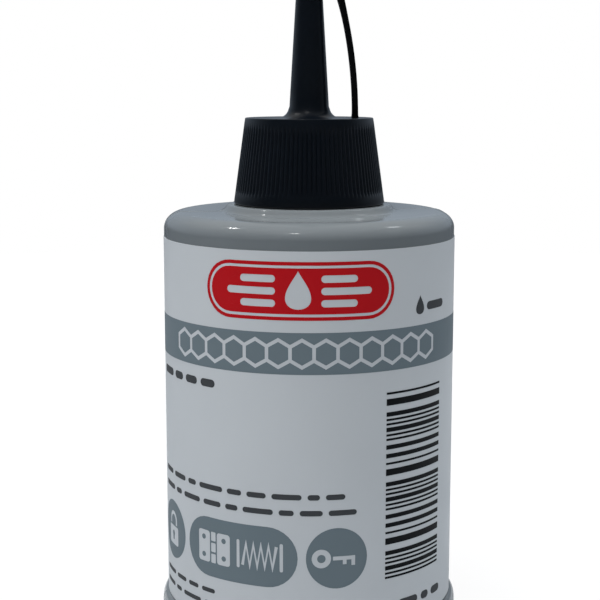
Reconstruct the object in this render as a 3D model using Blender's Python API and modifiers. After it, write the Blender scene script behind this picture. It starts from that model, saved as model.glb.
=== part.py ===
"""Graphite grease bottle: a blown bottle, a screw-on nozzle cap and a tip cap on a strap.

Metres, +Z up. The bottle stands on z = 0 with its axis on the Z axis. The strap is on the +X side,
and the front of the label faces -Y.
"""
import math

import bmesh
import bpy

# Bottle body
BODY_RADIUS = 0.01992
BODY_WALL = 0.0010
WALL_HEIGHT = 0.0572
SHOULDER_RUN = 0.00265
SHOULDER_RISE = 0.00217
FOOT_STEP = 0.00083
FOOT_BAND_HEIGHT = 0.0045
FOOT_ROUNDING_HEIGHT = 0.0014
BASE_CORNER = 0.0018
STANDING_RING_WIDTH = 0.0026
PUSH_UP = 0.0012
FLOOR_CORNER = 0.0015

# Neck and its thread
NECK_RADIUS = 0.0070
NECK_WALL = 0.0012
NECK_FILLET_RUN = 0.0048
NECK_FILLET_RISE = 0.0018
NECK_ROOT_FILLET = 0.0005
COLLAR_RADIUS = 0.01141
COLLAR_CLEARANCE = 0.00009
COLLAR_EDGE = 0.0003
COLLAR_FLANK_RUN = 0.0009
COLLAR_FOOT_FILLET = 0.0006
THREAD_PITCH = 0.0030
THREAD_DEPTH = 0.0007
THREAD_ROOT_WIDTH = 0.0011
THREAD_CREST_WIDTH = 0.0005
THREAD_CLEARANCE = 0.00035
THREAD_LEAD_IN = 0.0020
BOTTLE_THREAD_TURNS = 1.25
CAP_THREAD_TURNS = 1.0
CAP_THREAD_DELAY_TURNS = 0.375
THREAD_RUN_OUT_TURNS = 0.12
THREAD_END_SHARE = 0.5
THREAD_SINK = 0.0003

# Label and contents
LABEL_THICKNESS = 0.00008
LABEL_GAP = 0.00002
LABEL_MARGIN_BELOW = 0.0002
LABEL_MARGIN_ABOVE = 0.0012
GREASE_GAP = 0.0003
GREASE_HEADSPACE = 0.0004

# Nozzle cap
CAP_STANDOFF = 0.00102
SKIRT_HEIGHT = 0.01161
RIM_WALL = 0.00230
SKIRT_TAPER = 0.0016
RIM_ROUNDING = 0.0002
DECK_THICKNESS = 0.0012
DECK_EDGE = 0.00012
MOUTH_RELIEF = 0.0010
MOUTH_RELIEF_HEIGHT = 0.0010
RIB_COUNT = 96
RIB_DEPTH = 0.00013
RIB_INSET = 0.00003
RIB_BED = 0.00030
RIB_OVERRUN = 0.0001
TOP_BAND_HEIGHT = 0.0011
BOTTOM_BAND_HEIGHT = 0.0013

# Spout, moulded in one with the nozzle cap
SPOUT_HEIGHT = 0.0249
SPOUT_BASE_RADIUS = 0.00278
SPOUT_TIP_RADIUS = 0.0013
SPOUT_WALL = 0.0010
SPOUT_FILLET = 0.0015
ORIFICE_RADIUS = 0.0008

# Sealing washer
WASHER_THICKNESS = 0.0009
WASHER_HOLE_RADIUS = 0.0040
SEAL_CLEARANCE = 0.0002

# Tip cap
TIP_COVER = 0.0064
TIP_CLEARANCE = 0.0003
TIP_WALL = 0.0009
TIP_CROWN = 0.0011
TIP_EDGE = 0.0010
TIP_FLANGE_STEP = 0.0005
TIP_FLANGE_HEIGHT = 0.0012
PIN_LENGTH = 0.0018

# Strap between the two caps
STRAP_EDGE_INSET = 0.00251
STRAP_WIDTH = 0.0025
STRAP_THICKNESS = 0.0008
STRAP_TOP_THICKNESS = 0.0013
STRAP_THICKENING_SHARE = 0.35
STRAP_LUG_BITE = 0.0001
STRAP_GAP = 0.0003
STRAP_EDGE = 0.00012

# How finely round shapes are cut
SEGMENTS = 48
SMALL_SEGMENTS = 32
THREAD_STEPS_PER_TURN = SEGMENTS // 2
ARC_STEPS = 3
STRAP_STEPS = 14
SHARP_ANGLE = math.radians(35)
MERGE = 0.000001
CUT_MARGIN = 0.0010
HALF_FACET = math.pi / SEGMENTS

# Worked out from the sizes above
FOOT_RADIUS = BODY_RADIUS + FOOT_STEP
FOOT_TOP = FOOT_BAND_HEIGHT + FOOT_ROUNDING_HEIGHT
RING_OUTER_RADIUS = FOOT_RADIUS - BASE_CORNER
RING_INNER_RADIUS = RING_OUTER_RADIUS - STANDING_RING_WIDTH
INNER_RADIUS = BODY_RADIUS - BODY_WALL
CREST_RADIUS = BODY_RADIUS - SHOULDER_RUN
CREST_Z = WALL_HEIGHT + SHOULDER_RISE
NECK_FILLET_RADIUS = NECK_RADIUS + NECK_FILLET_RUN
NECK_FILLET_Z = CREST_Z + NECK_FILLET_RISE
NECK_BORE = NECK_RADIUS - NECK_WALL

RIM_Z = CREST_Z + CAP_STANDOFF
COLLAR_Z = RIM_Z - COLLAR_CLEARANCE
COLLAR_FOOT_RADIUS = COLLAR_RADIUS + COLLAR_FLANK_RUN
DECK_Z = RIM_Z + SKIRT_HEIGHT
WASHER_Z = DECK_Z - DECK_THICKNESS - SEAL_CLEARANCE - WASHER_THICKNESS
NECK_TOP_Z = WASHER_Z - SEAL_CLEARANCE
BOTTLE_THREAD_TOP_Z = NECK_TOP_Z - THREAD_LEAD_IN
BOTTLE_THREAD_Z = BOTTLE_THREAD_TOP_Z - THREAD_PITCH * BOTTLE_THREAD_TURNS
CAP_THREAD_Z = BOTTLE_THREAD_Z + THREAD_PITCH * (CAP_THREAD_DELAY_TURNS - 0.5)
CAP_BORE = NECK_RADIUS + THREAD_DEPTH + THREAD_CLEARANCE
MOUTH_RADIUS = CAP_BORE + MOUTH_RELIEF
RIM_RADIUS = CAP_BORE + RIM_WALL
DECK_RADIUS = RIM_RADIUS - SKIRT_TAPER

LABEL_Z = FOOT_TOP + LABEL_MARGIN_BELOW
LABEL_HEIGHT = WALL_HEIGHT - LABEL_MARGIN_ABOVE - LABEL_Z

SPOUT_TIP_Z = DECK_Z + SPOUT_HEIGHT
TIP_CAP_Z = SPOUT_TIP_Z - TIP_COVER
TIP_BORE_HEIGHT = TIP_COVER + TIP_CLEARANCE
TIP_CAP_HEIGHT = TIP_BORE_HEIGHT + TIP_CROWN
TIP_CAP_RADIUS = SPOUT_TIP_RADIUS + TIP_CLEARANCE + TIP_WALL
TIP_FLANGE_RADIUS = TIP_CAP_RADIUS + TIP_FLANGE_STEP
PIN_RADIUS = ORIFICE_RADIUS - TIP_CLEARANCE

STRAP_ROOT_X = DECK_RADIUS - STRAP_EDGE_INSET
STRAP_TOP_X = TIP_FLANGE_RADIUS - STRAP_LUG_BITE + STRAP_TOP_THICKNESS / 2
STRAP_Z = DECK_Z + STRAP_GAP
STRAP_HEIGHT = TIP_CAP_Z - STRAP_GAP - STRAP_Z

# Colour, roughness and metallic value of each material
FINISHES = {
    "grey_bottle_plastic": ((0.235, 0.245, 0.262), 0.42, 0.0),
    "printed_label": ((0.50, 0.54, 0.57), 0.38, 0.0),
    "graphite_paste": ((0.018, 0.019, 0.021), 0.32, 0.35),
    "washer_foam": ((0.72, 0.71, 0.67), 0.75, 0.0),
    "nozzle_plastic": ((0.010, 0.012, 0.016), 0.40, 0.0),
    "strap_plastic": ((0.008, 0.009, 0.011), 0.45, 0.0),
    "tip_cap_plastic": ((0.009, 0.010, 0.013), 0.40, 0.0),
}


def clear_scene():
    """Remove whatever the file holds before the model is made."""
    for old in list(bpy.data.objects):
        bpy.data.objects.remove(old, do_unlink=True)


def new_collection(name):
    """Make a collection in the scene."""
    collection = bpy.data.collections.new(name)
    bpy.context.scene.collection.children.link(collection)
    return collection


def make_material(name):
    """Make one Principled material from the table of finishes."""
    colour, roughness, metallic = FINISHES[name]
    material = bpy.data.materials.new(name)
    material.use_nodes = True
    shader = material.node_tree.nodes["Principled BSDF"]
    shader.inputs["Base Color"].default_value = (*colour, 1.0)
    shader.inputs["Roughness"].default_value = roughness
    shader.inputs["Metallic"].default_value = metallic
    return material


def arc(centre, radii, start, end, steps=ARC_STEPS):
    """Points on an ellipse's arc, as (radius, height), with both ends; angles in degrees from +X."""
    points = []
    for step in range(steps + 1):
        angle = math.radians(start + (end - start) * step / steps)
        points.append((centre[0] + radii[0] * math.cos(angle), centre[1] + radii[1] * math.sin(angle)))
    return points


def new_object(name, mesh, collection, height=0.0):
    """Put a mesh into a collection, its origin on the bottle's axis."""
    piece = bpy.data.objects.new(name, mesh)
    piece.location = (0.0, 0.0, height)
    collection.objects.link(piece)
    return piece


def bake(piece):
    """Replace an object's mesh with its evaluated one, shaded smooth up to the sharp angle."""
    depsgraph = bpy.context.evaluated_depsgraph_get()
    mesh = bpy.data.meshes.new_from_object(piece.evaluated_get(depsgraph), depsgraph=depsgraph)
    mesh.shade_smooth()
    mesh.set_sharp_from_angle(angle=SHARP_ANGLE)
    piece.modifiers.clear()
    piece.data = mesh
    piece.data.name = piece.name


def turned(name, profile, collection, height=0.0, closed=False, segments=SEGMENTS):
    """Turn a profile of (radius, height) points about the Z axis; it runs down its outer side."""
    edges = [(index, index + 1) for index in range(len(profile) - 1)]
    if closed:
        edges.append((len(profile) - 1, 0))
    mesh = bpy.data.meshes.new(name)
    mesh.from_pydata([(radius, 0.0, level) for radius, level in profile], edges, [])
    piece = new_object(name, mesh, collection, height)
    screw = piece.modifiers.new("turn", "SCREW")
    screw.axis = "Z"
    screw.steps = segments
    screw.render_steps = segments
    screw.use_merge_vertices = True
    screw.merge_threshold = MERGE
    bake(piece)
    return piece


def combine(piece, tool, operation):
    """Join a tool to a piece or cut it away, with the tool kept as a wire guide."""
    tool.hide_render = True
    tool.display_type = "WIRE"
    boolean = piece.modifiers.new(tool.name, "BOOLEAN")
    boolean.operation = operation
    boolean.solver = "EXACT"
    boolean.object = tool


def thread_ridge(name, collection, wall_radius, outward, start, turns, origin_z):
    """A helical ridge on a wall, out of it or into the bore, that fades away at both ends.

    start is the ridge's first angle, as turns, and its height there.
    """
    start_turn, start_z = start
    side = 1.0 if outward else -1.0
    bed_radius = wall_radius - side * THREAD_SINK
    crest_radius = wall_radius + side * THREAD_DEPTH
    section = [
        (bed_radius, -THREAD_ROOT_WIDTH / 2),
        (crest_radius, -THREAD_CREST_WIDTH / 2),
        (crest_radius, THREAD_CREST_WIDTH / 2),
        (bed_radius, THREAD_ROOT_WIDTH / 2),
    ]
    start_angle = 2 * math.pi * start_turn + HALF_FACET
    mesh = bpy.data.meshes.new(name)
    shape = bmesh.new()
    corners = []
    for radius, level in section:
        x = radius * math.cos(start_angle)
        y = radius * math.sin(start_angle)
        corners.append(shape.verts.new((x, y, start_z - origin_z + level)))
    face = shape.faces.new(corners)
    steps = round(turns * THREAD_STEPS_PER_TURN)
    bmesh.ops.spin(
        shape,
        geom=[face, *face.edges, *face.verts],
        cent=(0.0, 0.0, 0.0),
        axis=(0.0, 0.0, 1.0),
        dvec=(0.0, 0.0, THREAD_PITCH * turns / steps),
        angle=2 * math.pi * turns,
        steps=steps,
        use_merge=False,
        use_duplicate=False,
    )
    fade_run_outs(shape, bed_radius, start_z - origin_z, turns)
    bmesh.ops.recalc_face_normals(shape, faces=shape.faces)
    if shape.calc_volume(signed=True) < 0.0:
        bmesh.ops.reverse_faces(shape, faces=shape.faces)
    shape.to_mesh(mesh)
    shape.free()
    return new_object(name, mesh, collection, origin_z)


def fade_run_outs(shape, bed_radius, start_level, turns):
    """Draw the ridge's crest back into its wall over the first and the last part of a turn."""
    for corner in shape.verts:
        radius = math.hypot(corner.co.x, corner.co.y)
        done = (corner.co.z - start_level) / THREAD_PITCH
        left = turns - done
        share = min(1.0, THREAD_END_SHARE + max(0.0, min(done, left)) / THREAD_RUN_OUT_TURNS)
        faded = bed_radius + (radius - bed_radius) * share
        corner.co.x *= faded / radius
        corner.co.y *= faded / radius


def push_up_curve(height, outwards):
    """The shallow dome of the base or floor, as points from its rim to the axis or back."""
    points = []
    for step in range(ARC_STEPS + 1):
        share = 1.0 - step / ARC_STEPS
        points.append((RING_INNER_RADIUS * share, height + PUSH_UP * (1.0 - share * share)))
    if outwards:
        points.reverse()
    return points


def make_bottle_body(collection, tools):
    """The blown bottle: foot, wall, shoulder, collar and threaded neck, hollow and open at the neck."""
    floor_corner = (INNER_RADIUS - FLOOR_CORNER, BODY_WALL + FLOOR_CORNER)
    inner_shoulder = (SHOULDER_RUN - BODY_WALL, SHOULDER_RISE - BODY_WALL)
    inner_fillet = (NECK_FILLET_RUN + NECK_WALL, NECK_FILLET_RISE + BODY_WALL)
    base_corner = (FOOT_RADIUS - BASE_CORNER, BASE_CORNER)
    neck_root = (NECK_RADIUS + NECK_ROOT_FILLET, COLLAR_Z + NECK_ROOT_FILLET)
    collar_edge = (COLLAR_RADIUS - COLLAR_EDGE, COLLAR_Z - COLLAR_EDGE)
    collar_foot = (COLLAR_FOOT_RADIUS, CREST_Z + COLLAR_FOOT_FILLET)
    profile = [
        *push_up_curve(BODY_WALL, outwards=True),
        *arc(floor_corner, (FLOOR_CORNER, FLOOR_CORNER), -90, 0),
        *arc((CREST_RADIUS, WALL_HEIGHT), inner_shoulder, 0, 90),
        *arc((NECK_FILLET_RADIUS, NECK_FILLET_Z), inner_fillet, 270, 180),
        (NECK_BORE, NECK_TOP_Z),
        (NECK_RADIUS, NECK_TOP_Z),
        *arc(neck_root, (NECK_ROOT_FILLET, NECK_ROOT_FILLET), 180, 270),
        *arc(collar_edge, (COLLAR_EDGE, COLLAR_EDGE), 90, 40),
        *arc(collar_foot, (COLLAR_FOOT_FILLET, COLLAR_FOOT_FILLET), 220, 270),
        *arc((CREST_RADIUS, WALL_HEIGHT), (SHOULDER_RUN, SHOULDER_RISE), 90, 0),
        *arc((BODY_RADIUS, FOOT_BAND_HEIGHT), (FOOT_STEP, FOOT_ROUNDING_HEIGHT), 90, 0),
        *arc(base_corner, (BASE_CORNER, BASE_CORNER), 0, -90),
        *push_up_curve(0.0, outwards=False),
    ]
    body = turned("bottle_body", profile, collection)
    ridge = thread_ridge(
        "bottle_thread",
        tools,
        NECK_RADIUS,
        outward=True,
        start=(0.0, BOTTLE_THREAD_Z),
        turns=BOTTLE_THREAD_TURNS,
        origin_z=0.0,
    )
    combine(body, ridge, "UNION")
    return body


def make_wrap_label(collection):
    """The printed film wrapped round the wall, edge to edge at the back."""
    inner = BODY_RADIUS + LABEL_GAP
    outer = inner + LABEL_THICKNESS
    profile = [(outer, LABEL_HEIGHT), (outer, 0.0), (inner, 0.0), (inner, LABEL_HEIGHT)]
    return turned("wrap_label", profile, collection, LABEL_Z, closed=True)


def make_graphite_grease(collection):
    """The filling, as one solid plug up to just below the shoulder."""
    radius = INNER_RADIUS - GREASE_GAP
    bottom = BODY_WALL + GREASE_GAP
    top = WALL_HEIGHT - GREASE_HEADSPACE
    corner = (radius - FLOOR_CORNER, bottom + FLOOR_CORNER)
    profile = [
        (0.0, top),
        (radius, top),
        *arc(corner, (FLOOR_CORNER, FLOOR_CORNER), 0, -90),
        *push_up_curve(bottom, outwards=False),
    ]
    return turned("graphite_grease", profile, collection)


def make_sealing_washer(collection):
    """The soft ring that seals the bottle's mouth against the underside of the cap's deck."""
    outer = CAP_BORE - THREAD_CLEARANCE
    profile = [
        (outer, WASHER_THICKNESS),
        (outer, 0.0),
        (WASHER_HOLE_RADIUS, 0.0),
        (WASHER_HOLE_RADIUS, WASHER_THICKNESS),
    ]
    return turned("sealing_washer", profile, collection, WASHER_Z, closed=True)


def skirt_radius(level):
    """The skirt's outer radius at a height below the deck (a negative level)."""
    return DECK_RADIUS - SKIRT_TAPER * level / SKIRT_HEIGHT


def spout_radius(level):
    """The spout's outer radius at a height above the deck."""
    return SPOUT_BASE_RADIUS + (SPOUT_TIP_RADIUS - SPOUT_BASE_RADIUS) * level / SPOUT_HEIGHT


def make_skirt_ribs(tools):
    """A tapered ring with a saw-toothed edge: the grip ribs, between the two smooth bands."""
    top = -TOP_BAND_HEIGHT + RIB_OVERRUN
    bottom = -SKIRT_HEIGHT + BOTTOM_BAND_HEIGHT - RIB_OVERRUN
    mesh = bpy.data.meshes.new("skirt_ribs")
    shape = bmesh.new()
    bmesh.ops.create_cone(
        shape,
        cap_ends=True,
        segments=2 * RIB_COUNT,
        radius1=skirt_radius(bottom) - RIB_INSET,
        radius2=skirt_radius(top) - RIB_INSET,
        depth=top - bottom,
    )
    for corner in shape.verts:
        corner.co.z += (top + bottom) / 2
        turn = math.atan2(corner.co.y, corner.co.x) / (2 * math.pi)
        if round(turn * 2 * RIB_COUNT) % 2:
            radius = math.hypot(corner.co.x, corner.co.y)
            corner.co.x *= (radius - RIB_DEPTH) / radius
            corner.co.y *= (radius - RIB_DEPTH) / radius
    shape.to_mesh(mesh)
    shape.free()
    ribs = new_object("skirt_ribs", mesh, tools, DECK_Z)
    ribs.rotation_euler.z = math.pi / (2 * RIB_COUNT)
    return ribs


def make_cap_cavity(tools):
    """What is cut out of the nozzle cap: the mouth, the threaded bore and the spout's channel."""
    channel_start = SPOUT_BASE_RADIUS - SPOUT_WALL
    below = -SKIRT_HEIGHT - CUT_MARGIN
    relief = -SKIRT_HEIGHT + MOUTH_RELIEF_HEIGHT
    profile = [
        (0.0, SPOUT_HEIGHT + CUT_MARGIN),
        (ORIFICE_RADIUS, SPOUT_HEIGHT + CUT_MARGIN),
        (ORIFICE_RADIUS, SPOUT_HEIGHT - PIN_LENGTH - TIP_CLEARANCE),
        (channel_start, 0.0),
        (channel_start, -DECK_THICKNESS),
        (CAP_BORE, -DECK_THICKNESS),
        (CAP_BORE, relief + MOUTH_RELIEF),
        (MOUTH_RADIUS, relief),
        (MOUTH_RADIUS, below),
        (0.0, below),
    ]
    cavity = turned("cap_cavity", profile, tools, DECK_Z)
    cavity.rotation_euler.z = HALF_FACET
    return cavity


def make_nozzle_cap(collection, tools):
    """The nozzle cap in one moulding: ribbed skirt, deck, internal thread and spout."""
    band_top = -TOP_BAND_HEIGHT
    band_bottom = -SKIRT_HEIGHT + BOTTOM_BAND_HEIGHT
    rim_side = skirt_radius(-SKIRT_HEIGHT + RIM_ROUNDING)
    fillet_foot = SPOUT_BASE_RADIUS + SPOUT_FILLET
    profile = [
        (0.0, SPOUT_HEIGHT),
        (SPOUT_TIP_RADIUS, SPOUT_HEIGHT),
        (spout_radius(SPOUT_FILLET), SPOUT_FILLET),
        *arc((fillet_foot, SPOUT_FILLET), (SPOUT_FILLET, SPOUT_FILLET), 190, 270),
        (DECK_RADIUS - DECK_EDGE, 0.0),
        (skirt_radius(-DECK_EDGE), -DECK_EDGE),
        (skirt_radius(band_top), band_top),
        (skirt_radius(band_top) - RIB_BED, band_top),
        (skirt_radius(band_bottom) - RIB_BED, band_bottom),
        (skirt_radius(band_bottom), band_bottom),
        *arc((rim_side - RIM_ROUNDING, RIM_ROUNDING - SKIRT_HEIGHT), (RIM_ROUNDING, RIM_ROUNDING), 0, -90),
        (0.0, -SKIRT_HEIGHT),
    ]
    cap = turned("nozzle_cap", profile, collection, DECK_Z)
    combine(cap, make_skirt_ribs(tools), "UNION")
    combine(cap, make_cap_cavity(tools), "DIFFERENCE")
    ridge = thread_ridge(
        "cap_thread",
        tools,
        CAP_BORE,
        outward=False,
        start=(CAP_THREAD_DELAY_TURNS, CAP_THREAD_Z),
        turns=CAP_THREAD_TURNS,
        origin_z=DECK_Z,
    )
    combine(cap, ridge, "UNION")
    return cap


def make_tip_cap(collection, tools):
    """The tip cap: a domed sleeve over the spout, its sealing pin and the strap's lug."""
    bore_bottom = spout_radius(SPOUT_HEIGHT - TIP_COVER) + TIP_CLEARANCE
    bore_top = SPOUT_TIP_RADIUS + TIP_CLEARANCE
    dome_centre = (TIP_CAP_RADIUS - TIP_EDGE, TIP_CAP_HEIGHT - TIP_EDGE)
    profile = [
        (0.0, TIP_CAP_HEIGHT),
        *arc(dome_centre, (TIP_EDGE, TIP_EDGE), 90, 0),
        (TIP_CAP_RADIUS, TIP_FLANGE_HEIGHT),
        (TIP_FLANGE_RADIUS, TIP_FLANGE_HEIGHT),
        (TIP_FLANGE_RADIUS, 0.0),
        (bore_bottom, 0.0),
        (bore_top, TIP_BORE_HEIGHT),
        (PIN_RADIUS, TIP_BORE_HEIGHT),
        (PIN_RADIUS, TIP_BORE_HEIGHT - PIN_LENGTH),
        (0.0, TIP_BORE_HEIGHT - PIN_LENGTH),
    ]
    cap = turned("tip_cap", profile, collection, TIP_CAP_Z, segments=SMALL_SEGMENTS)
    combine(cap, make_tip_lug(tools), "UNION")
    return cap


def make_tip_lug(tools):
    """The block on the tip cap's flange that the strap runs up into."""
    inner_x = TIP_CAP_RADIUS
    outer_x = STRAP_TOP_X + STRAP_TOP_THICKNESS / 2
    mesh = bpy.data.meshes.new("tip_lug")
    shape = bmesh.new()
    bmesh.ops.create_cube(shape, size=1.0)
    for corner in shape.verts:
        corner.co.x = (inner_x + outer_x) / 2 + corner.co.x * (outer_x - inner_x)
        corner.co.y *= STRAP_WIDTH
        corner.co.z = (corner.co.z + 0.5) * TIP_FLANGE_HEIGHT
    shape.to_mesh(mesh)
    shape.free()
    return new_object("tip_lug", mesh, tools, TIP_CAP_Z)


def strap_centre(height):
    """How far the strap's middle has come in towards the axis at a height above its root."""
    lean = STRAP_ROOT_X - STRAP_TOP_X
    bend_radius = (STRAP_HEIGHT ** 2 + lean ** 2) / (2 * lean)
    return bend_radius - math.sqrt(bend_radius ** 2 - height ** 2)


def strap_half_thickness(height):
    """Half the strap's thickness: even, then swelling over its last part towards the lug."""
    share_left = 1.0 - height / STRAP_HEIGHT
    swell = max(0.0, 1.0 - share_left / STRAP_THICKENING_SHARE) ** 2
    return (STRAP_THICKNESS + (STRAP_TOP_THICKNESS - STRAP_THICKNESS) * swell) / 2


def make_tether_strap(collection):
    """The flat strap from the nozzle cap's deck up to the tip cap, from its side outline."""
    heights = [STRAP_HEIGHT * step / STRAP_STEPS for step in range(STRAP_STEPS + 1)]
    inner_edge = [(-strap_centre(h) - strap_half_thickness(h), h) for h in heights]
    outer_edge = [(-strap_centre(h) + strap_half_thickness(h), h) for h in heights]
    outline = outer_edge + inner_edge[::-1]
    curve = bpy.data.curves.new("strap_outline", "CURVE")
    curve.dimensions = "2D"
    curve.fill_mode = "BOTH"
    curve.extrude = STRAP_WIDTH / 2
    spline = curve.splines.new("POLY")
    spline.points.add(len(outline) - 1)
    for point, (across, up) in zip(spline.points, outline):
        point.co = (across, up, 0.0, 1.0)
    spline.use_cyclic_u = True
    guide = bpy.data.objects.new("strap_outline", curve)
    guide.location = (STRAP_ROOT_X, 0.0, STRAP_Z)
    guide.rotation_euler = (math.pi / 2, 0.0, 0.0)
    collection.objects.link(guide)
    bpy.context.view_layer.update()
    depsgraph = bpy.context.evaluated_depsgraph_get()
    mesh = bpy.data.meshes.new_from_object(guide.evaluated_get(depsgraph), depsgraph=depsgraph)
    shape = bmesh.new()
    shape.from_mesh(mesh)
    bmesh.ops.remove_doubles(shape, verts=shape.verts, dist=MERGE)
    bmesh.ops.recalc_face_normals(shape, faces=shape.faces)
    shape.to_mesh(mesh)
    shape.free()
    strap = bpy.data.objects.new("tether_strap", mesh)
    strap.matrix_world = guide.matrix_world
    bpy.data.objects.remove(guide, do_unlink=True)
    collection.objects.link(strap)
    bevel = strap.modifiers.new("soft edges", "BEVEL")
    bevel.width = STRAP_EDGE
    bevel.segments = 1
    bevel.angle_limit = SHARP_ANGLE
    return strap


def join_up(child, parent):
    """Parent a piece to the one that carries it, keeping its place."""
    bpy.context.view_layer.update()
    child.parent = parent
    child.matrix_parent_inverse = parent.matrix_world.inverted()


def main():
    """Model the whole bottle."""
    clear_scene()
    pieces = new_collection("graphite_lubricant_bottle")
    tools = new_collection("cutters")
    body = make_bottle_body(pieces, tools)
    label = make_wrap_label(pieces)
    grease = make_graphite_grease(pieces)
    washer = make_sealing_washer(pieces)
    nozzle = make_nozzle_cap(pieces, tools)
    tip = make_tip_cap(pieces, tools)
    strap = make_tether_strap(pieces)
    finishes = [
        (body, "grey_bottle_plastic"),
        (label, "printed_label"),
        (grease, "graphite_paste"),
        (washer, "washer_foam"),
        (nozzle, "nozzle_plastic"),
        (strap, "strap_plastic"),
        (tip, "tip_cap_plastic"),
    ]
    for piece, finish in finishes:
        piece.data.materials.clear()
        piece.data.materials.append(make_material(finish))
    carriers = [(label, body), (grease, body), (washer, body), (nozzle, washer), (strap, nozzle), (tip, nozzle)]
    for piece, carrier in carriers:
        join_up(piece, carrier)


main()
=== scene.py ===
"""The looks of a grease bottle with a nozzle cap, built round its packed frame.

Metres, +Z up. The front of the label faces -Y and the strap is on the +X side. Printed shapes are
drawn flat in millimetres, across from the label's front and up from its lower edge, and then wrapped.
"""

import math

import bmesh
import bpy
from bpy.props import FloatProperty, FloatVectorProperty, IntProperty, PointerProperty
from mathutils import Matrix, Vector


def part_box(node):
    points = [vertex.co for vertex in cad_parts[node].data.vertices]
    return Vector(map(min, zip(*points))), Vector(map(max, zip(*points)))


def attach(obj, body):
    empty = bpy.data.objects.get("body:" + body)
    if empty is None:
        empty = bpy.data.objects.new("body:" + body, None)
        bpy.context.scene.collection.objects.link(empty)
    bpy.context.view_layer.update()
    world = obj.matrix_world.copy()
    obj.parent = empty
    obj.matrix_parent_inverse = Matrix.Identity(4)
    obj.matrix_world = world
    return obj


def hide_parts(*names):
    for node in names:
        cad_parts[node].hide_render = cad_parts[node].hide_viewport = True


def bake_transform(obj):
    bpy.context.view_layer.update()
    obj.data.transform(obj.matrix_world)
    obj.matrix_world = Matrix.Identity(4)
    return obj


bl_info = {
    "name": "Grease Bottle Looks",
    "version": (1, 0, 0),
    "blender": (4, 5, 0),
    "location": "View3D > Sidebar > Grease Bottle",
    "description": "Builds the bottle's shell, label, caps, strap, filling and studio round its frame",
    "category": "Add Mesh",
}

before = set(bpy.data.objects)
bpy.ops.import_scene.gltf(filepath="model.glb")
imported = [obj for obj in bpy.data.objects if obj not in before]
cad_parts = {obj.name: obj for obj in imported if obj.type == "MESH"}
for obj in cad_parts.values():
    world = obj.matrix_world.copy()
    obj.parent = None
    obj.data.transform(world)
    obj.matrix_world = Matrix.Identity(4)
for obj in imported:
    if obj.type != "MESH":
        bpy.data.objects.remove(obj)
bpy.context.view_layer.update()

MM = 0.001
FULL_TURN = 2 * math.pi
ON_AXIS = 0.000001
WELD = 0.0000005
SHARP_ANGLE = math.radians(32)
LUG_SHARP_ANGLE = math.radians(60)

# Read from the frame
BODY_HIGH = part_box("bottle_body")[1]
LABEL_LOW, LABEL_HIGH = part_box("wrap_label")
GREASE_LOW, GREASE_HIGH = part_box("graphite_grease")
WASHER_LOW, WASHER_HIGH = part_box("sealing_washer")
CAP_LOW, CAP_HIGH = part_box("nozzle_cap")
STRAP_LOW, STRAP_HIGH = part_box("tether_strap")
TIP_LOW, TIP_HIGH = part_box("tip_cap")
FOOT_RADIUS = BODY_HIGH.x
NECK_TOP = BODY_HIGH.z
FILM_RADIUS = LABEL_HIGH.x
LABEL_BOTTOM = LABEL_LOW.z
LABEL_TOP = LABEL_HIGH.z
RIM_Z = CAP_LOW.z
SPOUT_TIP_Z = CAP_HIGH.z
SEAT_GAP = 0.3 * MM
DECK_Z = STRAP_LOW.z - SEAT_GAP
TIP_CAP_Z = TIP_LOW.z

# Bottle body
FILM_THICKNESS = 0.09 * MM
FILM_SEAT = 0.1 * MM
WALL_RADIUS = FILM_RADIUS - FILM_SEAT
BODY_WALL = 1.0 * MM
WALL_TOP = LABEL_TOP + 1.2 * MM
SHOULDER_RUN = 2.65 * MM
SHOULDER_RISE = 2.17 * MM
FOOT_TOP = LABEL_BOTTOM - 0.2 * MM
FOOT_ROUNDING_HEIGHT = 1.4 * MM
BASE_CORNER = 1.8 * MM
STANDING_RING_WIDTH = 2.6 * MM
PUSH_UP = 1.2 * MM
PUSH_UP_RADIUS = FOOT_RADIUS - BASE_CORNER - STANDING_RING_WIDTH
PINCH_OFF_FADE = 0.7 * PUSH_UP_RADIUS
FLOOR_CORNER = 1.5 * MM
NECK_RADIUS = 7.0 * MM
NECK_WALL = 1.2 * MM
INNER_FILLET_RUN = 6.0 * MM
INNER_FILLET_RISE = 2.8 * MM
NECK_ROOT_FILLET = 0.5 * MM
COLLAR_RADIUS = 11.41 * MM
COLLAR_TOP = RIM_Z - 0.09 * MM
COLLAR_EDGE = 0.55 * MM
COLLAR_FLANK_RUN = 0.9 * MM
COLLAR_FOOT_FILLET = 0.9 * MM
MOUTH_EDGE = 0.25 * MM
PARTING_ANGLE = math.radians(8.25)
PARTING_WIDTH = 0.11 * MM
PINCH_OFF_WIDTH = 0.35 * MM
PINCH_OFF_RISE = 3.0

# Threads
THREAD_PITCH = 3.0 * MM
THREAD_DEPTH = 0.7 * MM
THREAD_ROOT_WIDTH = 1.25 * MM
THREAD_CREST_WIDTH = 0.45 * MM
THREAD_RUN_OUT_TURNS = 0.12
BOTTLE_THREAD_TURNS = 1.25
BOTTLE_THREAD_Z = NECK_TOP - 2.0 * MM - THREAD_PITCH * BOTTLE_THREAD_TURNS
CAP_THREAD_TURNS = 1.0
CAP_THREAD_DELAY_TURNS = 0.375
CAP_THREAD_Z = BOTTLE_THREAD_Z + THREAD_PITCH * (CAP_THREAD_DELAY_TURNS - 0.5)
THREAD_CLEARANCE = 0.35 * MM

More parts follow.
